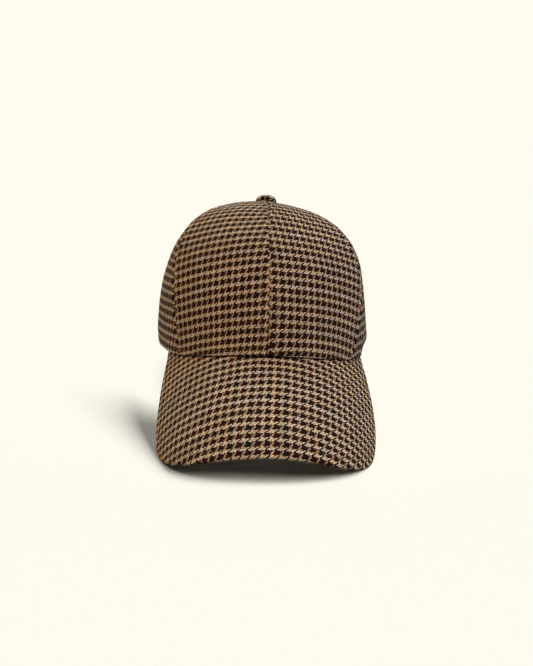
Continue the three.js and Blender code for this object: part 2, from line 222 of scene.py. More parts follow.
def brim_sheet(across, along, depth=0.0):
    """A point of the brim from its flat coordinates, before it is raised to meet the hem."""
    bend = BRIM_STEEPENING / BRIM_LENGTH
    slope = BRIM_PITCH + bend * along
    forward = (np.sin(slope) - math.sin(BRIM_PITCH)) / bend
    drop = (np.cos(slope) - math.cos(BRIM_PITCH)) / bend
    curl = lerp(BRIM_CURL_ROOT, BRIM_CURL_FRONT, along / BRIM_LENGTH)
    turn = across / curl
    sink = curl * (1 - np.cos(turn)) + depth * np.cos(turn)
    x = (curl - depth) * np.sin(turn)
    y = sink * np.sin(slope) - RIM_FRONT - forward
    return np.stack([x, y, drop - sink * np.cos(slope)], -1)


SEARCH_STEPS = 40


def brim_under(plan, depth=0.0):
    """The flat coordinates of the brim point that lies, in plan, at a place on the rim."""
    plan = np.asarray(plan, float)
    along = np.zeros(plan.shape[:-1])
    for _ in range(SEARCH_STEPS):
        curl = lerp(BRIM_CURL_ROOT, BRIM_CURL_FRONT, along / BRIM_LENGTH)
        across = curl * np.arcsin(plan[..., 0] / (curl - depth))
        slope = BRIM_PITCH + BRIM_STEEPENING * along / BRIM_LENGTH
        along = along + (brim_sheet(across, along, depth)[..., 1] - plan[..., 1]) / np.cos(slope)
    return np.stack([across, along], -1)


def brim_height(plan):
    """Height of the brim over a place in plan, before it is raised."""
    flat = brim_under(plan)
    return brim_sheet(flat[..., 0], flat[..., 1])[..., 2]


BRIM_RAISE = -HEM_GAP - float(brim_height(rim_plan(BRIM_END_ANGLE)))


def hem_height(angle, inset=0.0):
    """Height of the hem: on the brim at the front, and arched over each side behind it."""
    angle = np.asarray(angle, float)
    past = np.maximum(abs(angle) - BRIM_END_ANGLE, 0)
    on_brim = brim_height(rim_plan(np.minimum(abs(angle), BRIM_END_ANGLE), inset))
    on_brim = (on_brim + BRIM_RAISE + HEM_GAP) * np.exp(-past / BRIM_HEM_FADE)
    rise = np.where(angle < 0, HEM_ARCHES[-1][0], HEM_ARCHES[1][0])
    skew = np.where(angle < 0, HEM_ARCHES[-1][1], HEM_ARCHES[1][1])
    way = (past / (180 - BRIM_END_ANGLE)) ** skew
    return on_brim + rise * np.maximum(np.sin(np.pi * way), 0) ** HEM_ARCH_EASE


def seam_point(seam, side, share):
    """A seam of the crown, from the hem at share 0 to the button at 1."""
    angle = SEAM_ANGLES[seam]
    sweep, drift, ease, rise, round_ = SEAM_LINES[seam][side]
    share = np.asarray(share, float)
    foot = rim_plan(side * (angle + sweep * np.sin(np.pi * share) + drift * share**ease))
    foot_height = hem_height(side * angle)
    spread = np.maximum(1 - share**rise, 0) ** (1 / round_)
    y = lerp(APEX_Y, foot[..., 1], spread)
    return np.stack([foot[..., 0] * spread, y, lerp(foot_height, CROWN_HEIGHT, share)], -1)


def bow_direction(panel, side, share):
    """Which way a panel bows out between its seams, at a share of the height."""
    start, end, _ = PANELS[panel]
    step = 0.002
    low = np.clip(share, step, 1 - 2 * step)

    def middle(height):
        return (seam_point(start, side, height) + seam_point(end, side, height)) / 2

    chord = seam_point(end, side, low) - seam_point(start, side, low)
    return unit(np.cross(chord, middle(low + step) - middle(low - step))) * side


def panel_point(panel, side, across, share):
    """The outer face of a panel: across is 0 at its front seam, share is 0 at the hem."""
    start, end, bows = PANELS[panel]
    hem, half, top = bows[side]
    across, share = np.broadcast_arrays(np.asarray(across, float), np.asarray(share, float))

    def bowed(height):
        a, b = seam_point(start, side, height), seam_point(end, side, height)
        width = np.linalg.norm(b - a, axis=-1)
        bow = np.where(height < 0.5, lerp(hem, half, 2 * height), lerp(half, top, 2 * height - 1))
        out = bow * width * 4 * across * (1 - across)
        return lerp(a, b, across[..., None]) + bow_direction(panel, side, height) * out[..., None]

    angle = side * lerp(SEAM_ANGLES[start], SEAM_ANGLES[end], across)
    on_rim = np.concatenate([rim_plan(angle), hem_height(angle)[..., None]], -1)
    point = bowed(share)
    point = point + (on_rim - bowed(np.zeros_like(share))) * np.exp(-share / HEM_BLEND)[..., None]
    high = (np.maximum(point[..., 2], 0) / CROWN_HEIGHT) ** 2
    point[..., 2] -= CROWN_SAG * high * point[..., 0] / RIM_HALF_WIDTH
    point[..., 0] += CROWN_LEAN * high
    return point


def panel_normal(panel, side, across, share):
    """Outward direction of a panel by itself."""
    step = 0.004
    across, share = np.broadcast_arrays(np.asarray(across, float), np.asarray(share, float))
    low, high = np.maximum(across - step, 0), np.minimum(across + step, 1)
    base, top = np.maximum(share - step, 0), np.minimum(share + step, 1)
    sideways = panel_point(panel, side, high, share) - panel_point(panel, side, low, share)
    upward = panel_point(panel, side, across, top) - panel_point(panel, side, across, base)
    return unit(np.cross(sideways, upward)) * side


def seam_normal(seam, side, share):
    """Outward direction at a seam, halfway between those of its two panels."""
    total = 0
    for each in (-1, 1) if SEAM_ANGLES[seam] % 180 == 0 else (side,):
        for panel, (start, end, _) in PANELS.items():
            if start == seam:
                total = total + panel_normal(panel, each, 0.0, share)
            if end == seam:
                total = total + panel_normal(panel, each, 1.0, share)
    return unit(total)


def cloth_normal(panel, side, across, share):
    """Outward direction of a panel, which at a seam is shared with its neighbour."""
    start, end, _ = PANELS[panel]
    normal = panel_normal(panel, side, across, share)
    for seam, distance in ((start, across), (end, 1 - across)):
        near = np.maximum(1 - distance * CAD_COLUMNS, 0)[..., None]
        normal = lerp(normal, seam_normal(seam, side, share), near)
    return unit(normal)


def flatten_on_floor(points):
    """Cloth that would reach below the floor is pushed up the wall until it lies on it."""
    floor = HEM_FLAT - (RIM_BACK - points[..., 1]) * math.tan(REST_TILT)
    points[..., 2] = np.maximum(points[..., 2], floor)
    return points


def on_the_floor(points):
    """From the rim frame in mm to the room in metres."""
    cos, sin = math.cos(-REST_TILT), math.sin(-REST_TILT)
    turn = np.array([[1, 0, 0], [0, cos, -sin], [0, sin, cos]])
    return (points @ turn.T + np.array(REST_SHIFT)) * MM


def waves(points, size, seed):
    """Smooth, repeatable unevenness of about -1 to 1, with hollows some `size` mm apart."""
    rng = np.random.default_rng(seed)
    total = np.zeros(points.shape[:-1])
    count = 9
    for _ in range(count):
        direction = unit(rng.normal(size=3)) * rng.uniform(0.6, 1.5) * 2 * math.pi / size
        total += np.sin(points @ direction + rng.uniform(0, 2 * math.pi))
    return total / math.sqrt(count)


# ------------------------------------------------------------------ laying the cloth flat


def flatten(points, passes=60):
    """Lays a curved piece of cloth flat with as little stretch as it allows."""
    rows, columns, _ = points.shape
    number = np.arange(rows * columns).reshape(rows, columns)
    a, b = number[:-1, :-1].ravel(), number[:-1, 1:].ravel()
    c, d = number[1:, 1:].ravel(), number[1:, :-1].ravel()
    corners = np.concatenate([np.stack(t, 1) for t in ((a, b, c), (a, c, d), (a, b, d), (b, c, d))])
    place = points.reshape(-1, 3)[corners]
    base, other = place[:, 1] - place[:, 0], place[:, 2] - place[:, 0]
    length = np.linalg.norm(base, axis=1)
    flat = np.zeros((len(corners), 3, 2))
    flat[:, 1, 0] = length
    flat[:, 2, 0] = (base * other).sum(1) / length
    flat[:, 2, 1] = np.linalg.norm(np.cross(base, other), axis=1) / length
    weights = []
    for k in range(3):
        u, v = flat[:, (k + 1) % 3] - flat[:, k], flat[:, (k + 2) % 3] - flat[:, k]
        weights.append((u * v).sum(1) / (u[:, 0] * v[:, 1] - u[:, 1] * v[:, 0]))
    count = rows * columns
    stiffness = np.zeros((count, count))
    edges = [((k + 1) % 3, (k + 2) % 3, weights[k]) for k in range(3)]
    for p, q, weight in edges:
        i, j = corners[:, p], corners[:, q]
        for row, column, sign in ((i, j, -1), (j, i, -1), (i, i, 1), (j, j, 1)):
            np.add.at(stiffness, (row, column), sign * weight)
    stiffness[0, 0] += 1
    inverse = np.linalg.inv(stiffness)
    up = lengths_along(points, 0).mean(1, keepdims=True) + np.zeros((1, columns))
    over = lengths_along(points, 1)
    over = over - over[:, columns // 2 : columns // 2 + 1]
    laid = np.stack([over, up], -1).reshape(-1, 2)
    for _ in range(passes):
        spin = np.zeros((len(corners), 2, 2))
        for p, q, weight in edges:
            moved = laid[corners[:, p]] - laid[corners[:, q]]
            still = flat[:, p] - flat[:, q]
            spin += weight[:, None, None] * np.einsum("na,nb->nab", moved, still)
        left, _, right = np.linalg.svd(spin)
        left[np.linalg.det(left @ right) < 0, :, 1] *= -1
        turn = left @ right
        pull = np.zeros((count, 2))
        for p, q, weight in edges:
            force = weight[:, None] * np.einsum("nab,nb->na", turn, flat[:, p] - flat[:, q])
            np.add.at(pull, corners[:, p], force)
            np.add.at(pull, corners[:, q], -force)
        laid = inverse @ pull
    return laid.reshape(rows, columns, 2)


# The grid that a panel is laid flat on, and the row that its upright is taken to
FLAT_ROWS, FLAT_COLUMNS, FLAT_UP_ROW = 41, 19, 28


def panel_row(share):
    """The row of the flattened grid, as a fraction, at a share of the height."""
    return np.arcsin(np.clip(share / TOP_SHARE, 0, 1)) / (math.pi / 2) * (FLAT_ROWS - 1)


def between(grid, row, column):
    """The value of a grid at fractional rows and columns."""
    r = np.clip(np.floor(row).astype(int), 0, grid.shape[0] - 2)
    c = np.clip(np.floor(column).astype(int), 0, grid.shape[1] - 2)
    low, high = (lerp(grid[k, c], grid[k, c + 1], (column - c)[..., None]) for k in (r, r + 1))
    return lerp(low, high, (row - r)[..., None])


def panel_flat(panel, side):
    """A panel laid flat, x to the right as seen from outside and y upwards, from its seam."""
    share = TOP_SHARE * np.sin(np.arange(FLAT_ROWS) / (FLAT_ROWS - 1) * math.pi / 2)
    across = np.linspace(0, 1, FLAT_COLUMNS)[:: side]
    laid = flatten(panel_point(panel, side, across[None, :], share[:, None]))
    column = FLAT_COLUMNS // 2
    if panel == "front":
        column = 0 if side > 0 else FLAT_COLUMNS - 1
    origin = laid[0, column]
    up = unit(laid[FLAT_UP_ROW, column] - origin)
    return (laid - origin) @ np.array([[up[1], up[0]], [-up[0], up[1]]])


def repeats(flat, lay):
    """Where points of the flat cloth, in mm, lie in the check: repeats across and down."""
    x0, x1, y0, y1 = lay[2]
    x, y = flat[..., 0] / 100, flat[..., 1] / 100
    inside_x, inside_y = np.clip(x, x0, x1), np.clip(y, y0, y1)

    def bend(terms, x, y):
        powers = (x, y, 1, x * x, x * y, y * y, x**3, x * x * y, x * y * y, y**3)
        return sum(term * power for term, power in zip(terms, powers))

    step = 0.001
    out = []
    for terms in lay[:2]:
        here = bend(terms, inside_x, inside_y)
        slope_x = (bend(terms, inside_x + step, inside_y) - here) / step
        slope_y = (bend(terms, inside_x, inside_y + step) - here) / step
        out.append(here + slope_x * (x - inside_x) + slope_y * (y - inside_y))
    return np.stack(out, -1)


# ------------------------------------------------------------------ settings


def millimetres(name, description, default, low, high):
    """A size of the cap that can be changed."""
    description += ", in mm"
    return FloatProperty(name=name, description=description, default=default, min=low, max=high)


def factor(name, description, default):
    """A strength or a share that can be changed."""
    return FloatProperty(
        name=name, description=description, default=default, min=0.0, soft_max=3.0, subtype="FACTOR"
    )


def dye(name, description, default):
    """A colour that can be changed."""
    return FloatVectorProperty(
        name=name, description=description, default=default, min=0.0, max=1.0, subtype="COLOR"
    )


class CapCloth(bpy.types.PropertyGroup):
    """How the cloth is sewn and how softly it lies"""

    seam_dip: millimetres(
        "Seam dip", "How far the cloth rolls in where two panels are sewn together", 1.3, 0.0, 1.6
    )
    seam_width: millimetres("Seam width", "How wide that roll is on each side", 1.0, 0.2, 4.0)
    allowance_lift: millimetres(
        "Allowance lift", "How far the seam allowance behind the cloth lifts it", 0.3, 0.0, 1.0
    )
    allowance_width: millimetres(
        "Allowance width", "How far the seam allowance reaches from the seam", 7.0, 2.0, 15.0
    )
    pucker: millimetres("Pucker", "How far the cloth gathers along a sewn line", 0.12, 0.0, 0.6)
    slack: millimetres(
        "Slack", "How far the soft cloth wanders from its true shape", 0.35, 0.0, 1.0
    )
    hem_roll: millimetres("Hem roll", "Radius of the folded lower edge of the crown", 1.0, 0.5, 1.0)
    hem_lift: millimetres(
        "Hem lift", "How far the folded edge stands off the brim, as a dark line", 0.6, 0.0, 1.5
    )
    edge_roll: millimetres("Brim edge roll", "Radius of the sewn edge of the brim", 1.6, 0.5, 1.6)
    panel_rows: IntProperty(
        name="Panel rows",
        description="How finely each crown panel is divided",
        default=120,
        min=20,
        max=240,
    )


class CapStitching(bpy.types.PropertyGroup):
    """The stitches and where their rows run"""

    length: millimetres("Stitch length", "Length of a stitch", 2.5, 1.0, 6.0)
    gap: millimetres("Stitch gap", "Gap between two stitches", 0.7, 0.1, 3.0)
    thickness: millimetres("Thread thickness", "Thickness of the sewing thread", 0.42, 0.1, 1.0)
    from_seam: millimetres(
        "From the seam", "How far the rows beside a crown seam lie from it", 5.0, 1.0, 12.0
    )
    above_hem: millimetres(
        "Above the hem", "How far the row round the crown lies above its lower edge", 4.5, 1.0, 12.0
    )
    from_edge: millimetres(
        "From the brim's edge", "How far the brim's rows lie inside its edge", 6.5, 2.0, 20.0
    )
    thread: dye("Thread", "Colour of the thread in the checked cloth", (0.12, 0.075, 0.04))
    band_thread: dye("Band thread", "Colour of the thread in the sweatband", (0.03, 0.025, 0.02))


class CapYarns(bpy.types.PropertyGroup):
    """The yarns of the check, lengthways (warp) and crossways (weft)"""

    light_warp: dye("Light warp", "Lengthways yarn of the ground", (0.375, 0.255, 0.153))
    light_weft: dye("Light weft", "Crossways yarn of the ground", (0.62, 0.5, 0.367))
    maroon_warp: dye("Maroon warp", "Lengthways yarn of every other check", (0.018, 0.0035, 0.0045))
    black_warp: dye("Black warp", "Lengthways yarn of the checks between", (0.006, 0.0045, 0.0025))
    maroon_weft: dye("Maroon weft", "Crossways yarn of every other check", (0.024, 0.006, 0.006))
    black_weft: dye("Black weft", "Crossways yarn of the checks between", (0.015, 0.0085, 0.0045))


class CapStage(bpy.types.PropertyGroup):
    """The light and the camera"""

    wall: factor("Walls", "Brightness of the pale walls all round", 1.0)
    cap_light: factor("Light on the cap", "Strength of the soft lamps that light the cap", 1.0)
    floor_front: factor(
        "Floor light in front", "Share of the floor's light from the lamp above the camera", 0.22
    )
    floor_side: factor(
        "Floor light beside", "Share of the floor's light from the lamp on the right", 0.78
    )
    lens: FloatProperty(
        name="Lens",
        description="Focal length of the camera",
        default=40.265,
        min=10,
        max=200,
        unit="CAMERA",
    )


# ------------------------------------------------------------------ meshes

# How far above the floor the lowest cloth lies, in metres, so that the two never share a plane
ABOVE_FLOOR = 0.00002


def make_piece(name, points, faces, material, cloth=None):
    """A smooth mesh from the points in the rim frame that its faces use. cloth gives each point's
    repeats."""
    used, corners = np.unique([corner for face in faces for corner in face], return_inverse=True)
    ends = np.cumsum([len(face) for face in faces])[:-1]
    faces = [face.tolist() for face in np.split(corners.ravel(), ends)]
    places = on_the_floor(points[used])
    places[:, 2] = np.maximum(places[:, 2], ABOVE_FLOOR)
    mesh = bpy.data.meshes.new(name)
    mesh.from_pydata(places.tolist(), [], faces)
    mesh.validate()
    if cloth is not None:
        corner = np.zeros(len(mesh.loops), np.int32)
        mesh.loops.foreach_get("vertex_index", corner)
        layer = mesh.uv_layers.new(name="cloth")
        layer.data.foreach_set("uv", cloth[used][corner].astype(np.float32).ravel())
    mesh.polygons.foreach_set("use_smooth", np.ones(len(mesh.polygons), bool))
    mesh.materials.append(material)
    mesh.update()
    obj = bpy.data.objects.new(name, mesh)
    bpy.context.scene.collection.objects.link(obj)
    return obj


def make_shell(name, outer, inner, faces, laid, material):
    """A closed piece from its outer and inner grid of points, which lie alike on the cloth."""
    points = np.concatenate([outer.reshape(-1, 3), inner.reshape(-1, 3)])
    return make_piece(name, points, faces, material, np.concatenate([laid.reshape(-1, 2)] * 2))


def without_repeats(faces):
    """Faces whose corners each come once, leaving out those that shrank to a line."""
    once = [list(dict.fromkeys(face)) for face in faces]
    return [face for face in once if len(face) > 2]


def shell_faces(rows, columns, ring=False, weld_first=False, weld_last=False):
    """Faces of a closed body between an outer and an inner grid of points. Where a row of the two
    grids is welded, both use the outer one."""
    inner = rows * columns

    def at(side, row, column):
        welded = (row == 0 and weld_first) or (row == rows - 1 and weld_last)
        return (0 if welded else side * inner) + row * columns + column % columns

    faces = []
    last = columns if ring else columns - 1
    for row in range(rows - 1):
        for col in range(last):
            near, far = (row, col), (row + 1, col + 1)
            one, other = (row, col + 1), (row + 1, col)
            faces.append([at(0, *corner) for corner in (near, one, far, other)])
            faces.append([at(1, *corner) for corner in (near, other, far, one)])
    for col in range(last):
        if not weld_first:
            faces.append([at(1, 0, col), at(1, 0, col + 1), at(0, 0, col + 1), at(0, 0, col)])
        if not weld_last:
            top, near = rows - 1, col + 1
            faces.append([at(0, top, col), at(0, top, near), at(1, top, near), at(1, top, col)])
    if not ring:
        end = columns - 1
        for row, far in zip(range(rows - 1), range(1, rows)):
            faces.append([at(0, row, 0), at(0, far, 0), at(1, far, 0), at(1, row, 0)])
            faces.append([at(0, row, end), at(1, row, end), at(1, far, end), at(0, far, end)])
    return without_repeats(faces)


def ride(obj, slot, *nodes):
    """Hangs a piece under the frame's root and hides the nodes that it stands for. What it is made
    of, slot, is not used.
    """
    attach(obj, "root")
    if nodes:
        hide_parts(*nodes)


# ------------------------------------------------------------------ sewn lines


def along_line(value, values, points):
    """The point of a line at a value, from the values at its given points."""
    return np.stack([np.interp(value, values, points[:, k]) for k in range(points.shape[1])], -1)


class Line:
    """A sewn line: points on the cloth, its outward directions there, and the way along it."""

    def __init__(self, points, normals, ring=False):
        if ring:
            points, normals = (np.concatenate([each, each[:1]]) for each in (points, normals))
        self.points, self.normals = points, normals
        self.way = lengths_along(points, 0)

    def at(self, way):
        """The points and directions at some distances from its start."""
        return along_line(way, self.way, self.points), unit(along_line(way, self.way, self.normals))


STITCH_SIDES = 6
# A stitch from end to end: the share of its length, how high it lies and how thick it is there,
# both as shares of the thread's thickness
STITCH_PROFILE = (
    (0, -0.75, 0.3),
    (0.12, 0.0, 0.85),
    (0.35, 0.35, 1),
    (0.65, 0.35, 1),
    (0.88, 0.0, 0.85),
    (1, -0.75, 0.3),
)
# How far a stitch strays along its row, in mm, how much it slants, and how flat the thread lies
STITCH_STRAY, STITCH_SLANT, THREAD_FLAT = 0.06, 0.05, 0.8


def sew(lines, stitching, seed):
    """The stitches along some lines, as points and faces."""
    points, faces = [], []
    rng = np.random.default_rng(seed)
    pitch = stitching.length + stitching.gap
    ring = np.arange(STITCH_SIDES) / STITCH_SIDES * 2 * math.pi
    share, height, width = np.array(STITCH_PROFILE).T
    size = len(STITCH_PROFILE) * STITCH_SIDES
    for line in lines:
        count = max(int(line.way[-1] / pitch), 1)
        starts = (np.arange(count) + 0.5) * (line.way[-1] / count) - stitching.length / 2
        starts = starts + rng.normal(size=count) * STITCH_STRAY
        place, normal = line.at(starts[:, None] + share * stitching.length)
        along = unit(place[:, -1] - place[:, 0])[:, None, :] + np.zeros_like(place)
        sideways = unit(np.cross(along, normal))
        slant = rng.normal(size=(count, 1, 1)) * STITCH_SLANT * stitching.length
        slant = slant * (share - 0.5)[None, :, None]
        centre = place + normal * (height * stitching.thickness)[:, None] + sideways * slant
        radius = (width * stitching.thickness / 2)[None, :, None, None]
        over = np.cos(ring)[:, None] * sideways[:, :, None, :]
        out = THREAD_FLAT * np.sin(ring)[:, None] * normal[:, :, None, :]
        tube = centre[:, :, None, :] + radius * (over + out)
        start = sum(len(p) for p in points)
        points.append(tube.reshape(-1, 3))
        for first in range(start, start + count * size, size):
            for low in range(first, first + size - STITCH_SIDES, STITCH_SIDES):
                for k in range(STITCH_SIDES):
                    a, b = low + k, low + (k + 1) % STITCH_SIDES
                    faces.append([a, a + STITCH_SIDES, b + STITCH_SIDES, b])
            faces.append([first + k for k in range(STITCH_SIDES)])
            faces.append([first + size - 1 - k for k in range(STITCH_SIDES)])
    return np.concatenate(points), faces


# The lines to be stitched, which the crown, the brim and the sweatband fill in as they are made
SEWN_LINES = {"crown": [], "brim": [], "band": []}

# ------------------------------------------------------------------ crown panels

# Columns beside a seam, by their distance from it in mm, and how many more lie between
SEAM_STEPS = (0.1, 0.3, 0.6, 1.0, 1.5, 2.2, 3.2, 4.1, 4.6, 5.0, 5.4, 5.9, 6.8, 7.8)
SEAM_EDGE = 0.02
FREE_COLUMNS = 38
# Share of the height where the columns are spaced, and how much wider a panel is over its bow
SPACED_AT, BOW_SPARE = 0.3, 1.05
ROLL_STEPS = 5
# Over how many mm the lift of the hem off the brim fades upwards, over how many degrees it fades
# towards the brim's ends, and over how many mm the slope of the fold's foot fades
HEM_LIFT_FADE, HEM_LIFT_EASE, HEM_SLOPE_FADE = 2.5, 8, 3
# Widths of a panel between which its seams' relief grows, in mm, from none at the button
SEAM_ROOM = (2, 14)
# Depth and half width of the groove that a row of stitches pulls, in mm
GROOVE = (0.22, 0.45)
# Over how many mm the edge of the allowance fades. The fold inside the hem lifts the cloth too,
# and sets in and fades at these distances above it.
ALLOWANCE_EDGE, FOLD_START, FOLD_END = 1.5, (0, 1), (7, 9)
# Puckers beside a seam: how far from it, how wide, and how many stitches each spans. Their
# spacing wanders by some mm over some mm.
PUCKER_AT, PUCKER_WIDTH, PUCKER_STITCHES = 3, 2.6, 1.9
PUCKER_WANDER = ((1.6, 23, 1), (0.9, 9.1, 2))
# Slack cloth: size of its hollows in mm, their share and their seed. They grow between these
# distances from a seam and from the hem.
HOLLOWS = ((42, 0.7, 0), (17, 0.3, 50))
SLACK_SIDEWAYS, SLACK_UP = (1, 14), (2, 18)
# Stitches beside two seams need a panel this many times as wide as their distance from one
ROOM_FOR_ROWS = 2.6


def panel_columns(panel, side):
    """Shares across a panel, closer together beside its two seams."""
    start, end, _ = PANELS[panel]
    chord = seam_point(end, side, SPACED_AT) - seam_point(start, side, SPACED_AT)
    width = np.linalg.norm(chord) * BOW_SPARE
    near = np.array((SEAM_EDGE, *SEAM_STEPS)) / width
    middle = np.linspace(near[-1], 1 - near[-1], FREE_COLUMNS + 2)[1:-1]
    return np.concatenate([near, middle, 1 - near[::-1]])


def seam_relief(distance, way, cloth, stitching, seed):
    """How the cloth dips, lifts and puckers beside a seam, in mm."""
    dip = -cloth.seam_dip * ridge(distance, 0, cloth.seam_width)
    edge = cloth.allowance_width
    lift = cloth.allowance_lift * (1 - smooth(distance, edge - ALLOWANCE_EDGE, edge))
    wander = way
    for reach, over, turn in PUCKER_WANDER:
        wander = wander + reach * np.sin(way / over + turn * seed)
    pitch = PUCKER_STITCHES * (stitching.length + stitching.gap)
    gather = cloth.pucker * np.sin(wander * 2 * math.pi / pitch + seed)
    gather = gather * ridge(distance, PUCKER_AT, PUCKER_WIDTH)
    depth, half = GROOVE
    return dip + lift + gather - depth * ridge(distance, stitching.from_seam, half)


def panel_relief(panel, side, base, lengths, cloth, stitching):
    """How far the cloth of a panel stands off its true shape, in mm."""
    from_start, from_end, up = lengths
    start, end, _ = PANELS[panel]
    relief = 0
    for seam, distance in ((start, from_start), (end, from_end)):
        # The two panels at a seam share its puckers
        seed = 2 * seam + (side > 0 and SEAM_ANGLES[seam] % 180 > 0)
        relief = relief + seam_relief(distance, up, cloth, stitching, seed)
    relief = relief * smooth(from_start + from_end, *SEAM_ROOM)
    depth, half = GROOVE
    fold = cloth.allowance_lift * (1 - smooth(up, *FOLD_END)) * smooth(up, *FOLD_START)
    relief = relief - depth * ridge(up, stitching.above_hem, half) + fold
    soft = smooth(np.minimum(from_start, from_end), *SLACK_SIDEWAYS) * smooth(up, *SLACK_UP)
    seed = 2 * start + 1 + side
    hollows = sum(share * waves(base, size, seed + more) for size, share, more in HOLLOWS)
    return relief + cloth.slack * soft * hollows


def panel_cloth(panel, side, cloth, stitching):
    """Grids of one panel: its outer and inner face, outward directions, repeats and lengths."""
    roll, rows = cloth.hem_roll, cloth.panel_rows
    turn = np.linspace(0, math.pi / 2, ROLL_STEPS)
    roll_share = roll * (1 - np.cos(turn)) / CROWN_HEIGHT
    first = math.asin(roll_share[-1] / TOP_SHARE) / (math.pi / 2)
    climb = np.linspace(first, 1, rows + 1)[1:]
    share = np.concatenate([roll_share, TOP_SHARE * np.sin(climb * math.pi / 2)])
    across, share = np.meshgrid(panel_columns(panel, side)[::side], share)
    base = panel_point(panel, side, across, share)
    normal = cloth_normal(panel, side, across, share)
    over, up = lengths_along(base, 1), lengths_along(base, 0)
    rest = over[:, -1:] - over
    lengths = (over, rest, up) if side > 0 else (rest, over, up)
    start, end, _ = PANELS[panel]
    angle = side * lerp(SEAM_ANGLES[start], SEAM_ANGLES[end], across)
    lift = cloth.hem_lift * np.exp(-up / HEM_LIFT_FADE)
    lift = lift * smooth(BRIM_END_ANGLE - abs(angle), 0, HEM_LIFT_EASE)

    def face(roll_depth, depth, relief):
        inset = np.concatenate([roll_depth, np.full(rows, depth)])[:, None]
        points = base + normal * (relief - inset)[..., None]
        slope = hem_height(angle[:1], inset[:ROLL_STEPS]) - hem_height(angle[:1])
        above = np.repeat(slope[-1:], rows, 0) * np.exp(-(up[ROLL_STEPS:] / HEM_SLOPE_FADE))
        points[..., 2] += np.concatenate([slope, above]) + lift
        return flatten_on_floor(points)

    roll_depth = roll * (1 - np.sin(turn))
    outer = face(roll_depth, 0.0, panel_relief(panel, side, base, lengths, cloth, stitching))
    inner = face(2 * roll - roll_depth, CLOTH, 0.0)
    column = (across if side > 0 else 1 - across) * (FLAT_COLUMNS - 1)
    flat = between(panel_flat(panel, side), panel_row(share), column)
    down = roll * (math.pi / 2 - turn)
    flat[:ROLL_STEPS, :, 1] = flat[ROLL_STEPS - 1 : ROLL_STEPS, :, 1] - down[:, None]
    return outer, inner, normal, repeats(flat, LAYS[panel, side]), lengths


def line_at(values, level, points, normals, rows):
    """The line along which some value on the cloth reaches a level. It is looked for along each
    row of the grid when rows is True, and along each column when it isn't."""
    if not rows:
        values, points, normals = values.T, points.transpose(1, 0, 2), normals.transpose(1, 0, 2)
    place, outward = [], []
    for value, point, normal in zip(values, points, normals):
        order = np.argsort(value)
        if value[order[-1]] > level:
            place.append(along_line(level, value[order], point[order]))
            outward.append(along_line(level, value[order], normal[order]))
    return Line(np.array(place), unit(np.array(outward)))


class CAP_OT_crown(bpy.types.Operator):
    """Lays the cloth of the six crown panels, with their seams and folded hem"""

    bl_idname = "cap.crown"
    bl_label = "Crown panels"

    def execute(self, context):
        cloth, stitching = context.scene.cap_cloth, context.scene.cap_stitching
        sewn = []
        for panel in PANELS:
            for side, word in ((-1, "left"), (1, "right")):
                outer, inner, normal, laid, lengths = panel_cloth(panel, side, cloth, stitching)
                faces = shell_faces(*outer.shape[:2], weld_first=True)
                # Each panel's wool carries the painted light and shade of its place
                material = houndstooth_cloth(PAINTED_LIGHT_OF.get((panel, side), word))
                obj = make_shell(f"{panel}_cloth_{word}", outer, inner, faces, laid, material)
                ride(obj, "houndstooth_cloth", f"{panel}_panel_{word}")
                wide = lengths[0].max(1) > ROOM_FOR_ROWS * stitching.from_seam
                wide &= lengths[2].mean(1) > stitching.above_hem
                for distance in lengths[:2]:
                    line = distance[wide], stitching.from_seam, outer[wide], normal[wide]
                    sewn.append(line_at(*line, rows=True))
                sewn.append(line_at(lengths[2], stitching.above_hem, outer, normal, rows=False))
        SEWN_LINES["crown"] = sewn
        return {"FINISHED"}


# ------------------------------------------------------------------ brim

BRIM_ROWS = 64
BRIM_COLUMNS = 220
EDGE_STEPS = 6
OUTLINE_STEPS = 4001
# The roll of the edge fades out over this share of the outline, where the brim runs under the
# crown, and the stitches keep this many columns clear of there
EDGE_FADE = 0.03
EDGE_CLEAR = 8
# Hollows of the cloth: depth and size in mm. They grow from 2 to 12 mm inside the edge, and from
# the first to the sixth row in front of the crown.
BRIM_HOLLOW, BRIM_HOLLOW_SIZE = 0.22, 30
BRIM_HOLLOW_EASE, BRIM_ROOT_EASE = (2, 12), (1, 6)
# Depth and half width of the stitched groove, and depth of the groove between the two covers,
# which grows over these shares of the way round the edge
BRIM_GROOVE, BRIM_EDGE_GROOVE, BRIM_EDGE_FROM = (0.2, 0.5), 0.3, (0.75, 1)
# Seeds of the hollows above and below
BRIM_SEEDS = {1: 11, -1: 12}


def half_outline(side):
    """The flat outline of one half of the brim, from its end at the rim to the middle in front."""
    half_width, widest_at, squareness, swell = BRIM_SIDES[side]
    end = brim_under(rim_plan(BRIM_END_ANGLE))
    share = np.linspace(0, 1, OUTLINE_STEPS)
    left = np.clip(1 - share / BRIM_FLANK_SHARE, 0, 1)
    turn = np.radians(90 * np.clip(share - BRIM_FLANK_SHARE, 0, 1) / (1 - BRIM_FLANK_SHARE))
    flank_x = half_width - (half_width - end[0]) * left**swell
    flank_y = widest_at - (widest_at - end[1]) * left
    round_x = half_width * np.maximum(np.cos(turn), 0) ** (2 / squareness)
    round_y = lerp(widest_at, BRIM_LENGTH, np.sin(turn) ** (2 / squareness))
    flank = share < BRIM_FLANK_SHARE
    x = side * np.where(flank, flank_x, round_x)
    return np.stack([x, np.where(flank, flank_y, round_y)], -1)


def brim_outline(count):
    """The flat outline of the brim, evenly spaced, with its outward directions."""
    whole = np.concatenate([half_outline(-1), half_outline(1)[::-1][1:]])
    way = lengths_along(whole, 0)
    even = np.linspace(0, way[-1], count)
    step = 0.8
    tangent = unit(along_line(even + step, way, whole) - along_line(even - step, way, whole))
    return along_line(even, way, whole), np.stack([-tangent[:, 1], tangent[:, 0]], -1)


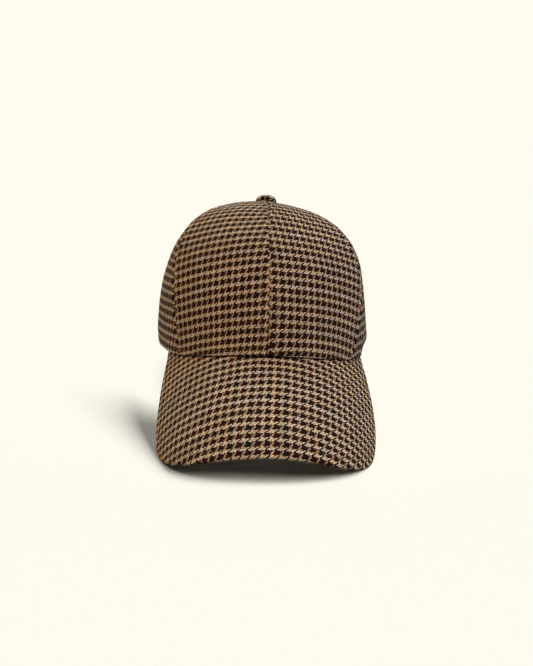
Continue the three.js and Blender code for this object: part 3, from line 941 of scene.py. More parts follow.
def brim_points(flat, depth):
    """The brim in its place, from its flat coordinates and the depth below its upper face."""
    points = brim_sheet(flat[..., 0], flat[..., 1], depth)
    points[..., 2] += BRIM_RAISE
    return points


def brim_normal(flat):
    """The direction out of the brim's upper face."""
    step = 0.5
    over = brim_points(flat + [step, 0], 0) - brim_points(flat - [step, 0], 0)
    out = brim_points(flat + [0, step], 0) - brim_points(flat - [0, step], 0)
    return unit(np.cross(out, over))


class CAP_OT_brim(bpy.types.Operator):
    """Covers the curled brim with cloth, above and below, and turns its sewn edge"""

    bl_idname = "cap.brim"
    bl_label = "Brim"

    def execute(self, context):
        cloth, stitching = context.scene.cap_cloth, context.scene.cap_stitching
        outline, outward = brim_outline(BRIM_COLUMNS)
        share = np.linspace(0, 1, BRIM_COLUMNS)
        fade = smooth(np.minimum(share, 1 - share), 0.0, EDGE_FADE)
        rolled = outward * cloth.edge_roll * fade[:, None]
        inside = outline - rolled
        angles = lerp(-BRIM_END_ANGLE, BRIM_END_ANGLE, share)
        tucked, start = brim_under(rim_plan(angles, CLOTH)), brim_under(rim_plan(angles))
        row = np.linspace(0, 1, BRIM_ROWS)[:, None, None]
        flat = np.concatenate([tucked[None], lerp(start, inside, row)])
        turn = np.linspace(0, math.pi / 2, EDGE_STEPS)[1:, None, None]
        grid = np.concatenate([flat, inside + np.sin(turn) * rolled])
        laid = repeats(np.concatenate([flat, inside + turn * rolled]), LAY_BRIM)
        from_edge = np.linalg.norm(grid - outline, axis=-1)
        # How far round the edge: 0 on the flat and 1 where the two covers meet
        round_ = np.concatenate([np.zeros(len(flat)), 1 - np.cos(turn[:, 0, 0])])[:, None]
        normal = brim_normal(grid)
        depth, half = BRIM_GROOVE
        groove = -depth * ridge(from_edge, stitching.from_edge, half) * fade
        edge_groove = -BRIM_EDGE_GROOVE * smooth(round_, *BRIM_EDGE_FROM) * fade
        ease = smooth(from_edge, *BRIM_HOLLOW_EASE)
        root = smooth(np.arange(len(grid)), *BRIM_ROOT_EASE)[:, None]
        clear = np.s_[: BRIM_ROWS + 1, EDGE_CLEAR:-EDGE_CLEAR]
        middle = BRIM_THICKNESS / 2
        covers, sewn = [], []
        for side, seed in BRIM_SEEDS.items():
            depth = middle - side * (middle - round_ * middle) + np.zeros_like(from_edge)
            cover = brim_points(grid, depth)
            hollows = BRIM_HOLLOW * ease * waves(cover, BRIM_HOLLOW_SIZE, seed)
            soft = (hollows + groove) * root * (1 - round_)
            lean = unit(brim_points(grid + outward * 0.5, depth) - cover) * round_[..., None]
            cover = cover + side * normal * soft[..., None] + lean * edge_groove[..., None]
            covers.append(cover)
            line = from_edge[clear], stitching.from_edge, cover[clear], side * normal[clear]
            sewn.append(line_at(*line, rows=False))
        SEWN_LINES["brim"] = sewn
        faces = [face[::-1] for face in shell_faces(*grid.shape[:2], weld_last=True)]
        obj = make_shell("brim_cloth", *covers, faces, laid, houndstooth_cloth("brim"))
        ride(obj, "houndstooth_cloth", "brim")
        return {"FINISHED"}


# ------------------------------------------------------------------ button

BUTTON_SIDES = 96
BUTTON_STEPS = 26
# Where its profile starts below the edge, in radians, and how square the dome is
BUTTON_START, BUTTON_DOME = -0.9, 0.82
# Its underside: depth of the stem's edge, and how far in and up the flat part reaches
BUTTON_STEM_EDGE, BUTTON_UNDER = -0.2, (2.2, 0.05)
# Gathers under the edge: their depth, number, unevenness and how far up they reach
GATHERS, GATHER_COUNT, GATHER_STRAY, GATHER_RISE = 0.16, 17, 3, 1.6
GATHER_PULL, GATHER_FROM = 0.1, 2.5
# How the button is out of round: share, times round and turn
BUTTON_WOBBLE = ((0.012, 2, 0.7), (0.01, 3, 0.0))
# How the check lies on it: turned, and moved by shares of a repeat
BUTTON_TURN = math.radians(8)
BUTTON_SHIFT = (0.77, 0.75)


def button_profile():
    """Radius and height of the button, from the foot of its stem to its top."""
    stem_radius, stem_length = BUTTON_STEM
    skirt = BUTTON_SKIRT / 2
    inset, rise = BUTTON_UNDER
    profile = [(0.0, -stem_length), (stem_radius, -stem_length), (stem_radius, BUTTON_STEM_EDGE)]
    profile += [(BUTTON_RADIUS - inset, 0.0), (BUTTON_RADIUS - skirt, rise)]
    for turn in np.linspace(BUTTON_START, math.pi / 2, BUTTON_STEPS):
        height = skirt if turn < 0 else BUTTON_HEIGHT - skirt
        radius = BUTTON_RADIUS * math.cos(turn) ** BUTTON_DOME
        profile.append((radius, skirt + height * math.sin(turn)))
    profile[-1] = (0.0, BUTTON_HEIGHT)
    return np.array(profile)


class CAP_OT_button(bpy.types.Operator):
    """Makes the covered button on top, with the cloth gathered under its edge"""

    bl_idname = "cap.button"
    bl_label = "Button"

    def execute(self, context):
        profile = button_profile()
        way = lengths_along(profile, 0)
        from_top = (way[-1] - way)[:, None]
        theta = np.arange(BUTTON_SIDES) / BUTTON_SIDES * 2 * math.pi
        radius, height = profile[:, :1], profile[:, 1:]
        low = np.exp(-np.maximum(height, 0) / GATHER_RISE) * (radius > BUTTON_RADIUS - GATHER_FROM)
        gather = GATHERS * np.sin(theta * GATHER_COUNT + np.sin(theta * GATHER_STRAY)) - GATHER_PULL
        out = radius + gather * low * (radius > 0)
        out = out * (1 + sum(share * np.sin(theta * n + turn) for share, n, turn in BUTTON_WOBBLE))
        points = np.broadcast_arrays(out * np.sin(theta), -out * np.cos(theta), height)
        points = np.stack(points, -1).reshape(-1, 3) + np.array(BUTTON_AT)
        around = theta + BUTTON_TURN
        laid = from_top[..., None] * np.stack([np.sin(around), np.cos(around)], -1)
        laid = laid / (REPEAT_ACROSS, REPEAT_ALONG) + BUTTON_SHIFT
        top = len(profile) - 1

        def at(row, k):
            return row * BUTTON_SIDES + (k % BUTTON_SIDES if 0 < row < top else 0)

        faces = [
            [at(row, k), at(row, k + 1), at(row + 1, k + 1), at(row + 1, k)]
            for row in range(top)
            for k in range(BUTTON_SIDES)
        ]
        faces = without_repeats(faces)
        # The button takes the right front's painted light and shade
        material = houndstooth_cloth("right")
        obj = make_piece("button_cloth", points, faces, material, laid.reshape(-1, 2))
        ride(obj, "houndstooth_cloth", "top_button")
        return {"FINISHED"}


# ------------------------------------------------------------------ sweatband

BAND_COLUMNS = 60
BAND_ROWS = 22
# Its rows of stitches: how far inside its two folds, and depth and half width of their dents
BAND_ROW_IN, BAND_DENT = 2.5, (0.12, 0.6)
# Its folds: share of the fullness at the fold itself, and how many mm from it the band is full
BAND_FOLD, BAND_HEIGHT, BAND_FULL = 0.35, 32, 1.2


def band_bulge(share):
    """How full the folded band is at a share of its height: thin at its two folds."""
    near = np.minimum(share, 1 - share) * BAND_HEIGHT
    return BAND_FOLD + (1 - BAND_FOLD) * np.sqrt(np.clip(near / BAND_FULL, 0, 1))


def band_part(panel, side):
    """The stretch of the sweatband behind one panel: its two faces and their directions."""
    start, end, _ = PANELS[panel]
    across = np.linspace(0, 1, BAND_COLUMNS + 1)[::side][:-1]
    across, climb = np.meshgrid(across, np.linspace(0, 1, BAND_ROWS))
    share = BAND_TOP_SHARE * climb
    angle = side * lerp(SEAM_ANGLES[start], SEAM_ANGLES[end], across[:1])
    base = panel_point(panel, side, across, share)
    normal = cloth_normal(panel, side, across, share)
    behind = smooth(abs(angle), BRIM_END_ANGLE - BAND_STEP_BACK, BRIM_END_ANGLE)
    foot = hem_height(angle, CLOTH) + lerp(-BRIM_THICKNESS, BAND_RECESS, behind)
    half = BAND_THICKNESS / 2
    faces = []
    for way in (-1, 1):
        depth = CLOTH + BAND_GAP + half + way * half * band_bulge(climb)
        points = base - normal * depth[..., None]
        points[..., 2] += (foot - points[:1, :, 2]) * (1 - climb) ** 2
        if way > 0:
            height = points[..., 2] - points[:1, :, 2]
            deep, wide = BAND_DENT
            for line in (BAND_ROW_IN, height.max() - BAND_ROW_IN):
                points = points + normal * deep * ridge(height, line, wide)[..., None]
        faces.append(flatten_on_floor(points))
    return *faces, -normal


class CAP_OT_sweatband(bpy.types.Operator):
    """Sews in the folded cotton sweatband"""

    bl_idname = "cap.sweatband"
    bl_label = "Sweatband"

    def execute(self, context):
        spots = [(panel, 1) for panel in PANELS] + [(panel, -1) for panel in reversed(PANELS)]
        parts = zip(*(band_part(panel, side) for panel, side in spots))
        outer, inner, normal = (np.concatenate(part, 1) for part in parts)
        over = lengths_along(outer[len(outer) // 2], 0)
        up = outer[..., 2] - outer[:1, :, 2]
        laid = np.stack(np.broadcast_arrays(over, up), -1) / 10
        faces = shell_faces(*outer.shape[:2], ring=True)
        obj = make_shell("sweatband_cloth", outer, inner, faces, laid, cotton_twill())
        ride(obj, "sweatband_cloth", "sweatband")
        height = inner[..., 2] - inner[:1, :, 2]
        levels = (BAND_ROW_IN, float(height[-1].min()) - BAND_ROW_IN)
        lines = (line_at(height, level, inner, normal, rows=False) for level in levels)
        SEWN_LINES["band"] = [Line(line.points, line.normals, ring=True) for line in lines]
        return {"FINISHED"}


# ------------------------------------------------------------------ stitches

# The stitches' own unevenness starts from this seed
STITCH_SEED = 20


class CAP_OT_stitches(bpy.types.Operator):
    """Sews the rows of stitches along the seams, the hem, the brim's edge and the sweatband"""

    bl_idname = "cap.stitches"
    bl_label = "Stitches"

    def execute(self, context):
        stitching = context.scene.cap_stitching
        brown = ("houndstooth_cloth", "brown thread", stitching.thread)
        dark = ("sweatband_cloth", "dark thread", stitching.band_thread)
        groups = {"crown": brown, "brim": brown, "band": dark}
        for seed, (group, (slot, thread, colour)) in enumerate(groups.items()):
            if not SEWN_LINES[group]:
                raise RuntimeError(f"sew the {group} before its stitches")
            points, faces = sew(SEWN_LINES[group], stitching, STITCH_SEED + seed)
            obj = make_piece(f"{group}_stitches", points, faces, sewing_thread(thread, colour))
            ride(obj, slot)
        return {"FINISHED"}


# ------------------------------------------------------------------ finishes


# How far a warmer colour gains red and loses blue
WARM_RED, WARM_BLUE = 0.35, -1.0


class Wires:
    """Short ways to add shader nodes and join them."""

    def __init__(self, tree):
        self.tree = tree
        self.tree.nodes.clear()

    def node(self, kind, settings=None, **inputs):
        """A node with its settings and its inputs, whose names have _ for a space."""
        node = self.tree.nodes.new(kind)
        for name, value in (settings or {}).items():
            setattr(node, name, value)
        for name, value in inputs.items():
            self.feed(node.inputs[name.replace("_", " ")], value)
        return node

    def feed(self, socket, value):
        """Gives a socket a link or a fixed value."""
        if isinstance(value, bpy.types.NodeSocket):
            self.tree.links.new(value, socket)
        else:
            socket.default_value = value

    def math(self, operation, *values):
        node = self.node("ShaderNodeMath", {"operation": operation})
        for socket, value in zip(node.inputs, values):
            self.feed(socket, value)
        return node.outputs[0]

    def pick(self, share, off, on):
        """A colour: off where share is 0, and on where it is 1."""
        node = self.node("ShaderNodeMix", {"data_type": "RGBA"})
        for number, value in ((0, share), (6, off), (7, on)):
            self.feed(node.inputs[number], value)
        return node.outputs[2]

    def pick_number(self, share, off, on):
        """A number: off where share is 0, and on where it is 1."""
        node = self.node("ShaderNodeMix", {"data_type": "FLOAT"})
        for number, value in ((0, share), (2, off), (3, on)):
            self.feed(node.inputs[number], value)
        return node.outputs[0]

    def uneven(self, colour, chance, lightness, warmth):
        """The colour a little lighter or darker, and warmer or cooler, by chance values."""
        first = self.node("ShaderNodeSeparateColor", Color=chance).outputs
        light = self.math("MULTIPLY", self.math("SUBTRACT", first["Red"], 0.5), lightness)
        warm = self.math("MULTIPLY", self.math("SUBTRACT", first["Green"], 0.5), warmth)
        red = self.math("MULTIPLY_ADD", warm, WARM_RED, 1.0)
        blue = self.math("MULTIPLY_ADD", warm, WARM_BLUE, 1.0)
        cast = self.node("ShaderNodeCombineColor", Red=red, Green=1.0, Blue=blue).outputs[0]
        return self.vectors("MULTIPLY", self.tint(colour, self.math("ADD", light, 1.0)), cast)

    def tint(self, colour, value):
        """The colour made lighter or darker by a value."""
        node = self.node("ShaderNodeVectorMath", {"operation": "SCALE"})
        self.feed(node.inputs[0], colour)
        self.feed(node.inputs["Scale"], value)
        return node.outputs[0]

    def vectors(self, operation, first, second):
        node = self.node("ShaderNodeVectorMath", {"operation": operation})
        self.feed(node.inputs[0], first)
        self.feed(node.inputs[1], second)
        return node.outputs[0]

    def noise(self, place, scale, detail):
        """A flat noise, as a colour and as a number."""
        settings = {"noise_dimensions": "2D"}
        node = self.node("ShaderNodeTexNoise", settings, Vector=place, Scale=scale, Detail=detail)
        return node.outputs["Color"], node.outputs["Fac"]

    def ramp(self, value, start, end, low, high):
        """A value eased from low to high, between a start and an end."""
        settings = {"interpolation_type": "SMOOTHSTEP"}
        node = self.node("ShaderNodeMapRange", settings, Value=value, From_Min=start, From_Max=end)
        self.feed(node.inputs["To Min"], low)
        self.feed(node.inputs["To Max"], high)
        return node.outputs[0]


def group_tree(name, inputs, outputs):
    """An empty shader node group with named inputs and outputs."""
    tree = bpy.data.node_groups.new(name, "ShaderNodeTree")
    for label, kind, value in inputs:
        socket = tree.interface.new_socket(name=label, in_out="INPUT", socket_type=kind)
        if value is not None:
            socket.default_value = value
    for label, kind in outputs:
        tree.interface.new_socket(name=label, in_out="OUTPUT", socket_type=kind)
    return tree


COLOUR, NUMBER, VECTOR = "NodeSocketColor", "NodeSocketFloat", "NodeSocketVector"

# Shares of a repeat that the dark yarns take: they are a little thicker than the light ones
DARK_SHARE = {"X": 0.56, "Y": 0.6}


# How fine each noise of the cloth is, for one repeat as eight, and how many finer layers it has
DRIFT, HAIRS, FIBRES, PATCHES, MOTTLE = (0.11, 2), (1.9, 1), (2.7, 2), (0.28, 2), (0.05, 3)
# By how many yarns the drift moves the check
DRIFT_BY = 1.4
# How much yarns, and patches of the cloth's pile, differ in lightness and warmth
YARN_WARMTH, PATCH_SHADES = 0.5, (0.75, 0.85)
# Shades as value times the first number plus the second: fibres, mottle, and the painted shade of
# the yarns' rounding, darker at their edges and ends
FIBRE_SHADE, MOTTLE_SHADE, ROUND_SHADE = (0.8, 0.6), (0.3, 0.85), (0.72, 0.5)
# Painted shade on the yarn below where it shows in a gap
UNDER_SHADE = 0.8
# How high a yarn bows over its float, and how high it starts
FLOAT_BOW = (0.6, 0.4)
# A 2/2 twill: each yarn goes over two and under two, so it comes again after four
TWILL, FLOAT = 4.0, 2.0
# Seeds of the chances by which yarns differ
YARN_SEEDS = {"warp": 17.0, "weft": 311.0}


def weave_group():
    """The houndstooth: a 2/2 twill of four dark and four light threads, both ways. Gives its
    colour, and its height for a bump."""
    found = bpy.data.node_groups.get("houndstooth weave")
    if found:
        return found
    yarns = bpy.context.scene.cap_yarns
    inputs = [("Cloth", VECTOR, None), ("Nap", COLOUR, (1, 1, 1, 1))]
    for key in ("light", "maroon", "black"):
        for kind in ("warp", "weft"):
            dyed = (*getattr(yarns, f"{key}_{kind}"), 1)
            inputs.append((f"{key} {kind}".capitalize(), COLOUR, dyed))
    inputs += [("Fuzz", NUMBER, 0.3), ("Uneven", NUMBER, 0.4), ("Gap", NUMBER, 0.12)]
    tree = group_tree("houndstooth weave", inputs, [("Color", COLOUR), ("Height", NUMBER)])
    w = Wires(tree)
    given = w.node("NodeGroupInput").outputs
    cloth = w.tint(given["Cloth"], THREADS)
    # Yarns wander a little, and their hairs blur the edge between two colours
    drift, hairs = w.noise(cloth, *DRIFT)[0], w.noise(cloth, *HAIRS)[0]
    split = w.node("ShaderNodeSeparateXYZ", Vector=given["Cloth"])

    def evened(place, dark):
        """Repeats counted so that the dark yarns take exactly half of each."""
        place = w.math("ADD", place, (dark - 0.5) / 2)
        part = w.math("FRACT", place)
        in_dark = w.math("MULTIPLY", w.math("MINIMUM", part, dark), 0.5 / dark)
        over = w.math("MAXIMUM", w.math("SUBTRACT", part, dark), 0.0)
        in_light = w.math("MULTIPLY", over, 0.5 / (1 - dark))
        return w.math("ADD", w.math("FLOOR", place), w.math("ADD", in_dark, in_light))

    places = []
    for axis, channel in (("X", "Red"), ("Y", "Green")):
        total = w.math("MULTIPLY", evened(split.outputs[axis], DARK_SHARE[axis]), THREADS)
        for source, amount in ((drift, DRIFT_BY), (hairs, given["Fuzz"])):
            part = w.node("ShaderNodeSeparateColor", Color=source).outputs[channel]
            part = w.math("MULTIPLY", w.math("SUBTRACT", part, 0.5), amount)
            total = w.math("ADD", total, part)
        places.append(total)
    warp, weft = (w.math("FLOOR", place) for place in places)
    on_warp, on_weft = (w.math("FRACT", place) for place in places)
    turn = w.math("FLOORED_MODULO", w.math("ADD", w.math("ADD", warp, weft), 1.0), TWILL)
    warp_shows = w.math("LESS_THAN", turn, FLOAT)

    def yarn(number, name):
        dark, maroon = (
            w.math("LESS_THAN", w.math("FLOORED_MODULO", number, count), count / 2)
            for count in (THREADS, 2 * THREADS)
        )
        dark_colour = w.pick(maroon, given[f"Black {name}"], given[f"Maroon {name}"])
        colour = w.pick(dark, given[f"Light {name}"], dark_colour)
        number = w.math("ADD", number, YARN_SEEDS[name])
        chance = w.node("ShaderNodeTexWhiteNoise", {"noise_dimensions": "1D"}, W=number)
        return w.uneven(colour, chance.outputs["Color"], given["Uneven"], YARN_WARMTH)

    lying, standing = yarn(weft, "weft"), yarn(warp, "warp")
    over, under = w.pick(warp_shows, lying, standing), w.pick(warp_shows, standing, lying)
    # In the gap beside the yarn on top, the one below shows if it is darker, with painted shade on
    # it
    sideways = w.pick_number(warp_shows, on_weft, on_warp)
    from_middle = w.math("ABSOLUTE", w.math("SUBTRACT", sideways, 0.5))
    gap = w.math("GREATER_THAN", from_middle, w.math("SUBTRACT", 0.5, given["Gap"]))
    colour = w.pick(gap, over, w.vectors("MINIMUM", over, w.tint(under, UNDER_SHADE)))
    # Each yarn is round across, and dives under at both ends of its float
    float_start = w.math("FLOORED_MODULO", turn, FLOAT)

    def raised(along, across):
        way = w.math("MULTIPLY", w.math("ADD", float_start, along), math.pi / FLOAT)
        bow = w.math("MULTIPLY_ADD", w.math("SINE", way), *FLOAT_BOW)
        side = w.math("MULTIPLY_ADD", across, 2.0, -1.0)
        left = w.math("SUBTRACT", 1.0, w.math("MULTIPLY", side, side))
        return w.math("MULTIPLY", bow, w.math("SQRT", w.math("MAXIMUM", left, 0.0)))

    height = w.pick_number(warp_shows, raised(on_warp, on_weft), raised(on_weft, on_warp))
    colour = w.uneven(colour, w.noise(cloth, *PATCHES)[0], *PATCH_SHADES)
    # Painted shade: each yarn darker towards its edges and where it dives under
    shade = w.math("MULTIPLY_ADD", height, *ROUND_SHADE)
    for noise, amounts in ((FIBRES, FIBRE_SHADE), (MOTTLE, MOTTLE_SHADE)):
        value = w.math("MULTIPLY_ADD", w.noise(cloth, *noise)[1], *amounts)
        shade = w.math("MULTIPLY", shade, value)
    # The colour is scaled by the piece's painted light and shade
    painted_colour = w.vectors("MULTIPLY", w.tint(colour, shade), given["Nap"])
    w.node("NodeGroupOutput", Color=painted_colour, Height=height)
    return tree


BUMP_DISTANCE = 0.0002


def cloth_material(name, sheen, roughness):
    """A woven material, and the wires and the shader to finish it with."""
    material = bpy.data.materials.new(name)
    material.use_nodes = True
    w = Wires(material.node_tree)
    shader = w.node("ShaderNodeBsdfPrincipled", Roughness=roughness)
    shader.inputs["Sheen Weight"].default_value = sheen
    shader.inputs["Sheen Roughness"].default_value = 0.5
    shader.inputs["Specular IOR Level"].default_value = 0.05
    w.node("ShaderNodeOutputMaterial", Surface=shader.outputs[0])
    return material, w, shader


def raise_threads(w, shader, height, strength):
    """Bumps the threads of a cloth by their height."""
    bump = w.node("ShaderNodeBump", Strength=strength, Distance=BUMP_DISTANCE, Height=height)
    w.feed(shader.inputs["Normal"], bump.outputs[0])


# Painted light and shade: the wool of each piece is tinted for the light where it lies: warmer on
# the left front, darker on the right front, darker still on the right side panel, where the light
# falls off, and much darker under the brim
PAINTED_LIGHT = {
    "brim": (0.97, 0.955, 0.945, 1),
    "under": (0.3, 0.3, 0.32, 1),
    "left": (0.96, 0.93, 0.915, 1),
    "right": (0.915, 0.88, 0.87, 1),
    "right side": (0.75, 0.7, 0.71, 1),
}
# The right side panel takes the darkest copy, as painted shade where the light falls off
PAINTED_LIGHT_OF = {("side", 1): "right side"}
# Upward slopes between which the brim's lower cloth, painted dark as shade, ends and its upper
# cloth starts
SHADED_UNDERSIDE = (-0.5, -0.3)


def houndstooth_cloth(lit_as):
    """The wool, with the painted light and shade of one piece."""
    name = f"houndstooth wool, {lit_as}"
    found = bpy.data.materials.get(name)
    if found:
        return found
    material, w, shader = cloth_material(name, sheen=0.0, roughness=0.95)
    lay = w.node("ShaderNodeUVMap", {"uv_map": "cloth"}).outputs[0]
    shade = PAINTED_LIGHT[lit_as]
    if lit_as == "brim":
        # Painted shade: the cloth under the brim is made much darker
        facing = w.node("ShaderNodeNewGeometry").outputs["Normal"]
        facing = w.node("ShaderNodeSeparateXYZ", Vector=facing).outputs["Z"]
        low, high = SHADED_UNDERSIDE
        above = w.node("ShaderNodeMapRange", Value=facing, From_Min=low, From_Max=high)
        shade = w.pick(above.outputs[0], PAINTED_LIGHT["under"], shade)
    weave = w.node("ShaderNodeGroup", {"node_tree": weave_group()}, Cloth=lay, Nap=shade).outputs
    w.feed(shader.inputs["Base Color"], weave["Color"])
    raise_threads(w, shader, weave["Height"], strength=0.5)
    return material


# The sweatband's twill: its two shades, how close its slanting lines are, in radians for each
# 10 mm, how fine its noise is, and the shares of lines and noise in its shade
TWILL_SHADES = ((0.016, 0.013, 0.011, 1), (0.034, 0.028, 0.023, 1))
TWILL_LINES, TWILL_NOISE, TWILL_SHARES = 75.0, (6, 4), (0.18, 0.9)


def cotton_twill():
    """The plain dark twill of the sweatband."""
    found = bpy.data.materials.get("cotton twill")
    if found:
        return found
    material, w, shader = cloth_material("cotton twill", sheen=0.1, roughness=0.9)
    lay = w.node("ShaderNodeUVMap", {"uv_map": "cloth"}).outputs[0]
    place = w.node("ShaderNodeSeparateXYZ", Vector=lay).outputs
    line = w.math("MULTIPLY", w.math("ADD", place["X"], place["Y"]), TWILL_LINES)
    lines, flecks = TWILL_SHARES
    noise = w.math("MULTIPLY", w.noise(lay, *TWILL_NOISE)[1], flecks)
    share = w.math("MULTIPLY_ADD", w.math("SINE", line), lines, noise)
    w.feed(shader.inputs["Base Color"], w.pick(share, *TWILL_SHADES))
    raise_threads(w, shader, share, strength=0.4)
    return material


# How fine the strands of the sewing thread are, and its darkest and lightest shade
STRANDS, STRAND_SHADES = 1800.0, (0.6, 1.35)


def sewing_thread(name, colour):
    """Twisted thread of one colour."""
    found = bpy.data.materials.get(name)
    if found:
        return found
    material, w, shader = cloth_material(name, sheen=0.1, roughness=0.6)
    place = w.node("ShaderNodeTexCoord").outputs["Object"]
    twist = w.node("ShaderNodeTexNoise", Vector=place, Scale=STRANDS, Detail=2.0).outputs["Fac"]
    shades = ([part * shade for part in colour] + [1] for shade in STRAND_SHADES)
    w.feed(shader.inputs["Base Color"], w.pick(twist, *shades))
    return material


# ------------------------------------------------------------------ stage

# Warm white of the walls, the floor's light and the lamps
PAPER = (1.0, 0.965, 0.863)
# Sines of the height at which the pale walls end, and at which the room above them is dark
WALL_TOP = math.sin(math.radians(11))
WALL_END = math.sin(math.radians(20))
# The lamps: light given to a level surface in red, green and blue, turn from the front towards the
# right, height and spread in degrees. Some light only the cap and some only the floor.
CAP_LAMPS = {
    "back lamp": ((0.62, 0.81, 0.99), 180, 60, 30),
    "top lamp": ((0.60, 0.33, 0.03), 0, 75, 30),
    "right lamp": ((0.15, 0.27, 0.47), 70, 50, 30),
    "low left lamp": ((0.021, 0.021, 0.021), -42, 12, 24),
    "low right lamp": ((0.021, 0.021, 0.021), 42, 12, 24),
}
# The walls behind the cap light it and the floor. Those in front are only seen, and give this
# share of light. The walls change between these cosines of the turn from the middle behind.
FRONT_WALL = 0.08
WALL_TURN = (-0.1, 0.3)
# Turn, height and spread of the floor's own lamps
FLOOR_LAMPS = {"floor front lamp": (0, 62, 20), "floor side lamp": (60, 38, 30)}
# The camera, in mm and in the room: its place, the direction behind it, its roll and its shift
CAMERA_AT = (-20.594, -528.366, 204.402)
CAMERA_BACK = (-0.03797, -0.97223, 0.23095)
CAMERA_ROLL = math.radians(2.217)
CAMERA_SHIFT = (0.0026, -0.0460)
SENSOR_WIDTH = 36
# From and to how many metres the camera sees
CAMERA_SEES = (0.05, 200)
# Half the width of the floor, in metres
FLOOR_REACH = 40.0


def room_light(wall):
    """The light that the walls give to a level floor."""
    sines = np.linspace(0, 1, 2001)
    glow = wall * (1 - smooth(sines, WALL_TOP, WALL_END))
    turn = np.linspace(-math.pi, math.pi, 721)[:-1]
    lit = lerp(FRONT_WALL, 1.0, smooth(np.cos(turn), *WALL_TURN))
    return float(np.mean(glow * sines)) * 2 * float(np.mean(lit))


def make_room(wall):
    """Pale walls all round, with a dark ceiling."""
    world = bpy.data.worlds.new("studio")
    world.use_nodes = True
    w = Wires(world.node_tree)
    way = w.node("ShaderNodeTexCoord").outputs["Generated"]
    way = w.node("ShaderNodeSeparateXYZ", Vector=way).outputs
    room = w.ramp(way["Z"], WALL_TOP, WALL_END, wall, 0.0)
    behind = w.ramp(way["Y"], *WALL_TURN, FRONT_WALL, 1.0)
    seen = w.node("ShaderNodeLightPath").outputs["Is Camera Ray"]
    light = w.math("MULTIPLY", room, w.math("MAXIMUM", seen, behind))
    glow = w.node("ShaderNodeBackground", Color=(*PAPER, 1), Strength=light)
    w.node("ShaderNodeOutputWorld", Surface=glow.outputs[0])
    return world


def make_floor(tone):
    """A wide level floor of one grey."""
    mesh = bpy.data.meshes.new("floor")
    square = ((-1, -1), (1, -1), (1, 1), (-1, 1))
    corners = [(x * FLOOR_REACH, y * FLOOR_REACH, 0) for x, y in square]
    mesh.from_pydata(corners, [], [(0, 1, 2, 3)])
    material = bpy.data.materials.new("pale floor")
    material.use_nodes = True
    w = Wires(material.node_tree)
    matt = w.node("ShaderNodeBsdfDiffuse", Color=(tone, tone, tone, 1))
    w.node("ShaderNodeOutputMaterial", Surface=matt.outputs[0])
    mesh.materials.append(material)
    floor = bpy.data.objects.new("floor", mesh)
    bpy.context.scene.collection.objects.link(floor)
    return floor


def make_camera(lens):
    """The camera in front of the cap and above it, leaning a little to one side."""
    camera = bpy.data.cameras.new("camera")
    camera.lens, camera.sensor_width = lens, SENSOR_WIDTH
    camera.shift_x, camera.shift_y = CAMERA_SHIFT
    camera.clip_start, camera.clip_end = CAMERA_SEES
    back = Vector(CAMERA_BACK).normalized()
    level = Vector((0, 0, 1)).cross(back).normalized()
    upright = back.cross(level)
    right = level * math.cos(CAMERA_ROLL) + upright * math.sin(CAMERA_ROLL)
    up = upright * math.cos(CAMERA_ROLL) - level * math.sin(CAMERA_ROLL)
    place = Matrix((right, up, back)).transposed().to_4x4()
    place.translation = Vector(CAMERA_AT) * MM
    holder = bpy.data.objects.new("camera", camera)
    bpy.context.scene.collection.objects.link(holder)
    holder.matrix_world = place
    return holder


def group_of(name, objects):
    """A collection of objects that lamps can be told to light."""
    group = bpy.data.collections.new(name)
    for obj in objects:
        group.objects.link(obj)
    return group


def hang_lamp(scene, name, given, turn, height, spread, lights, shaded_by=None):
    """A far lamp that gives a level surface some light, for one group of objects. The pieces in
    shaded_by, or all of them, cast its shadows."""
    turn, height = math.radians(turn), math.radians(height)
    level = math.cos(height)
    way = Vector((-math.sin(turn) * level, math.cos(turn) * level, -math.sin(height)))
    lamp = bpy.data.lights.new(name, "SUN")
    lamp.angle = math.radians(spread)
    lamp.color = [share / max(given) for share in given]
    lamp.energy = max(given) * math.pi / -way.z
    holder = bpy.data.objects.new(name, lamp)
    holder.rotation_euler = way.to_track_quat("-Z", "Y").to_euler()
    holder.light_linking.receiver_collection = lights
    if shaded_by:
        holder.light_linking.blocker_collection = shaded_by
    scene.collection.objects.link(holder)


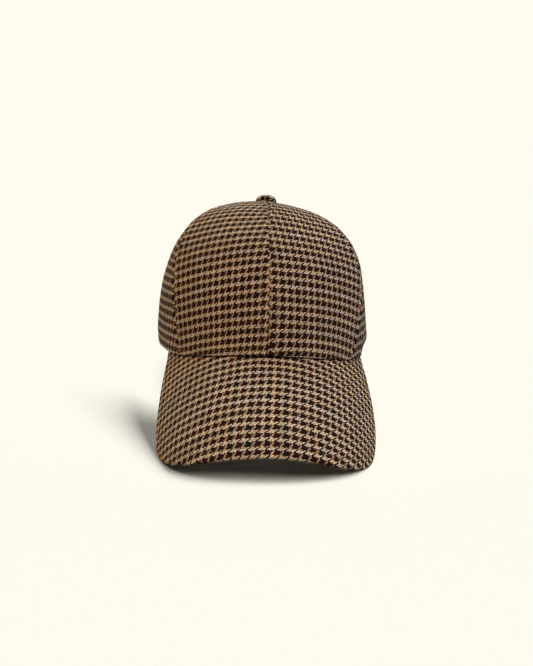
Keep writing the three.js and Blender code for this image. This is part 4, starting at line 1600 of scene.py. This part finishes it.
class CAP_OT_stage(bpy.types.Operator):
    """Puts the cap on a plain pale floor with soft studio light, and points the camera"""

    bl_idname = "cap.stage"
    bl_label = "Floor, light and camera"

    def execute(self, context):
        scene, settings = context.scene, context.scene.cap_stage
        scene.view_settings.view_transform = "Standard"
        scene.world = make_room(settings.wall)
        pieces = [obj for obj in scene.objects if obj.type == "MESH"]
        # The floor is as pale as the walls
        light = room_light(settings.wall) + settings.floor_front + settings.floor_side
        floor = make_floor(settings.wall / light)

        on_cap, on_floor = group_of("cap", pieces), group_of("floor", [floor])
        for name, (given, turn, height, spread) in CAP_LAMPS.items():
            given = [share * pale * settings.cap_light for share, pale in zip(given, PAPER)]
            hang_lamp(scene, name, given, turn, height, spread, on_cap)
        brim = group_of("brim", [obj for obj in pieces if obj.name.startswith("brim")])
        lamps = ((settings.floor_front, None), (settings.floor_side, brim))
        for (share, shaded_by), (name, place) in zip(lamps, FLOOR_LAMPS.items()):
            hang_lamp(scene, name, [share * pale for pale in PAPER], *place, on_floor, shaded_by)
        scene.camera = make_camera(settings.lens)
        return {"FINISHED"}


# ------------------------------------------------------------------ add-on

STEPS = (CAP_OT_crown, CAP_OT_brim, CAP_OT_button, CAP_OT_sweatband, CAP_OT_stitches, CAP_OT_stage)


class CAP_PT_steps(bpy.types.Panel):
    """The steps that make the cap, in order"""

    bl_idname = "CAP_PT_steps"
    bl_label = "Houndstooth cap"
    bl_space_type = "VIEW_3D"
    bl_region_type = "UI"
    bl_category = "Cap"

    def draw(self, context):
        for step in STEPS:
            self.layout.operator(step.bl_idname)
        for name in GROUPS:
            box = self.layout.box()
            settings = getattr(context.scene, name)
            for key in settings.bl_rna.properties.keys():
                if key not in ("rna_type", "name"):
                    box.prop(settings, key)


GROUPS = {
    "cap_cloth": CapCloth,
    "cap_stitching": CapStitching,
    "cap_yarns": CapYarns,
    "cap_stage": CapStage,
}
CLASSES = (*GROUPS.values(), *STEPS, CAP_PT_steps)


def register():
    for each in CLASSES:
        bpy.utils.register_class(each)
    for name, group in GROUPS.items():
        setattr(bpy.types.Scene, name, PointerProperty(type=group))


def unregister():
    for name in GROUPS:
        delattr(bpy.types.Scene, name)
    for each in reversed(CLASSES):
        bpy.utils.unregister_class(each)


def main():
    register()
    for step in STEPS:
        family, name = step.bl_idname.split(".")
        getattr(getattr(bpy.ops, family), name)()


if __name__ == "__main__":
    main()
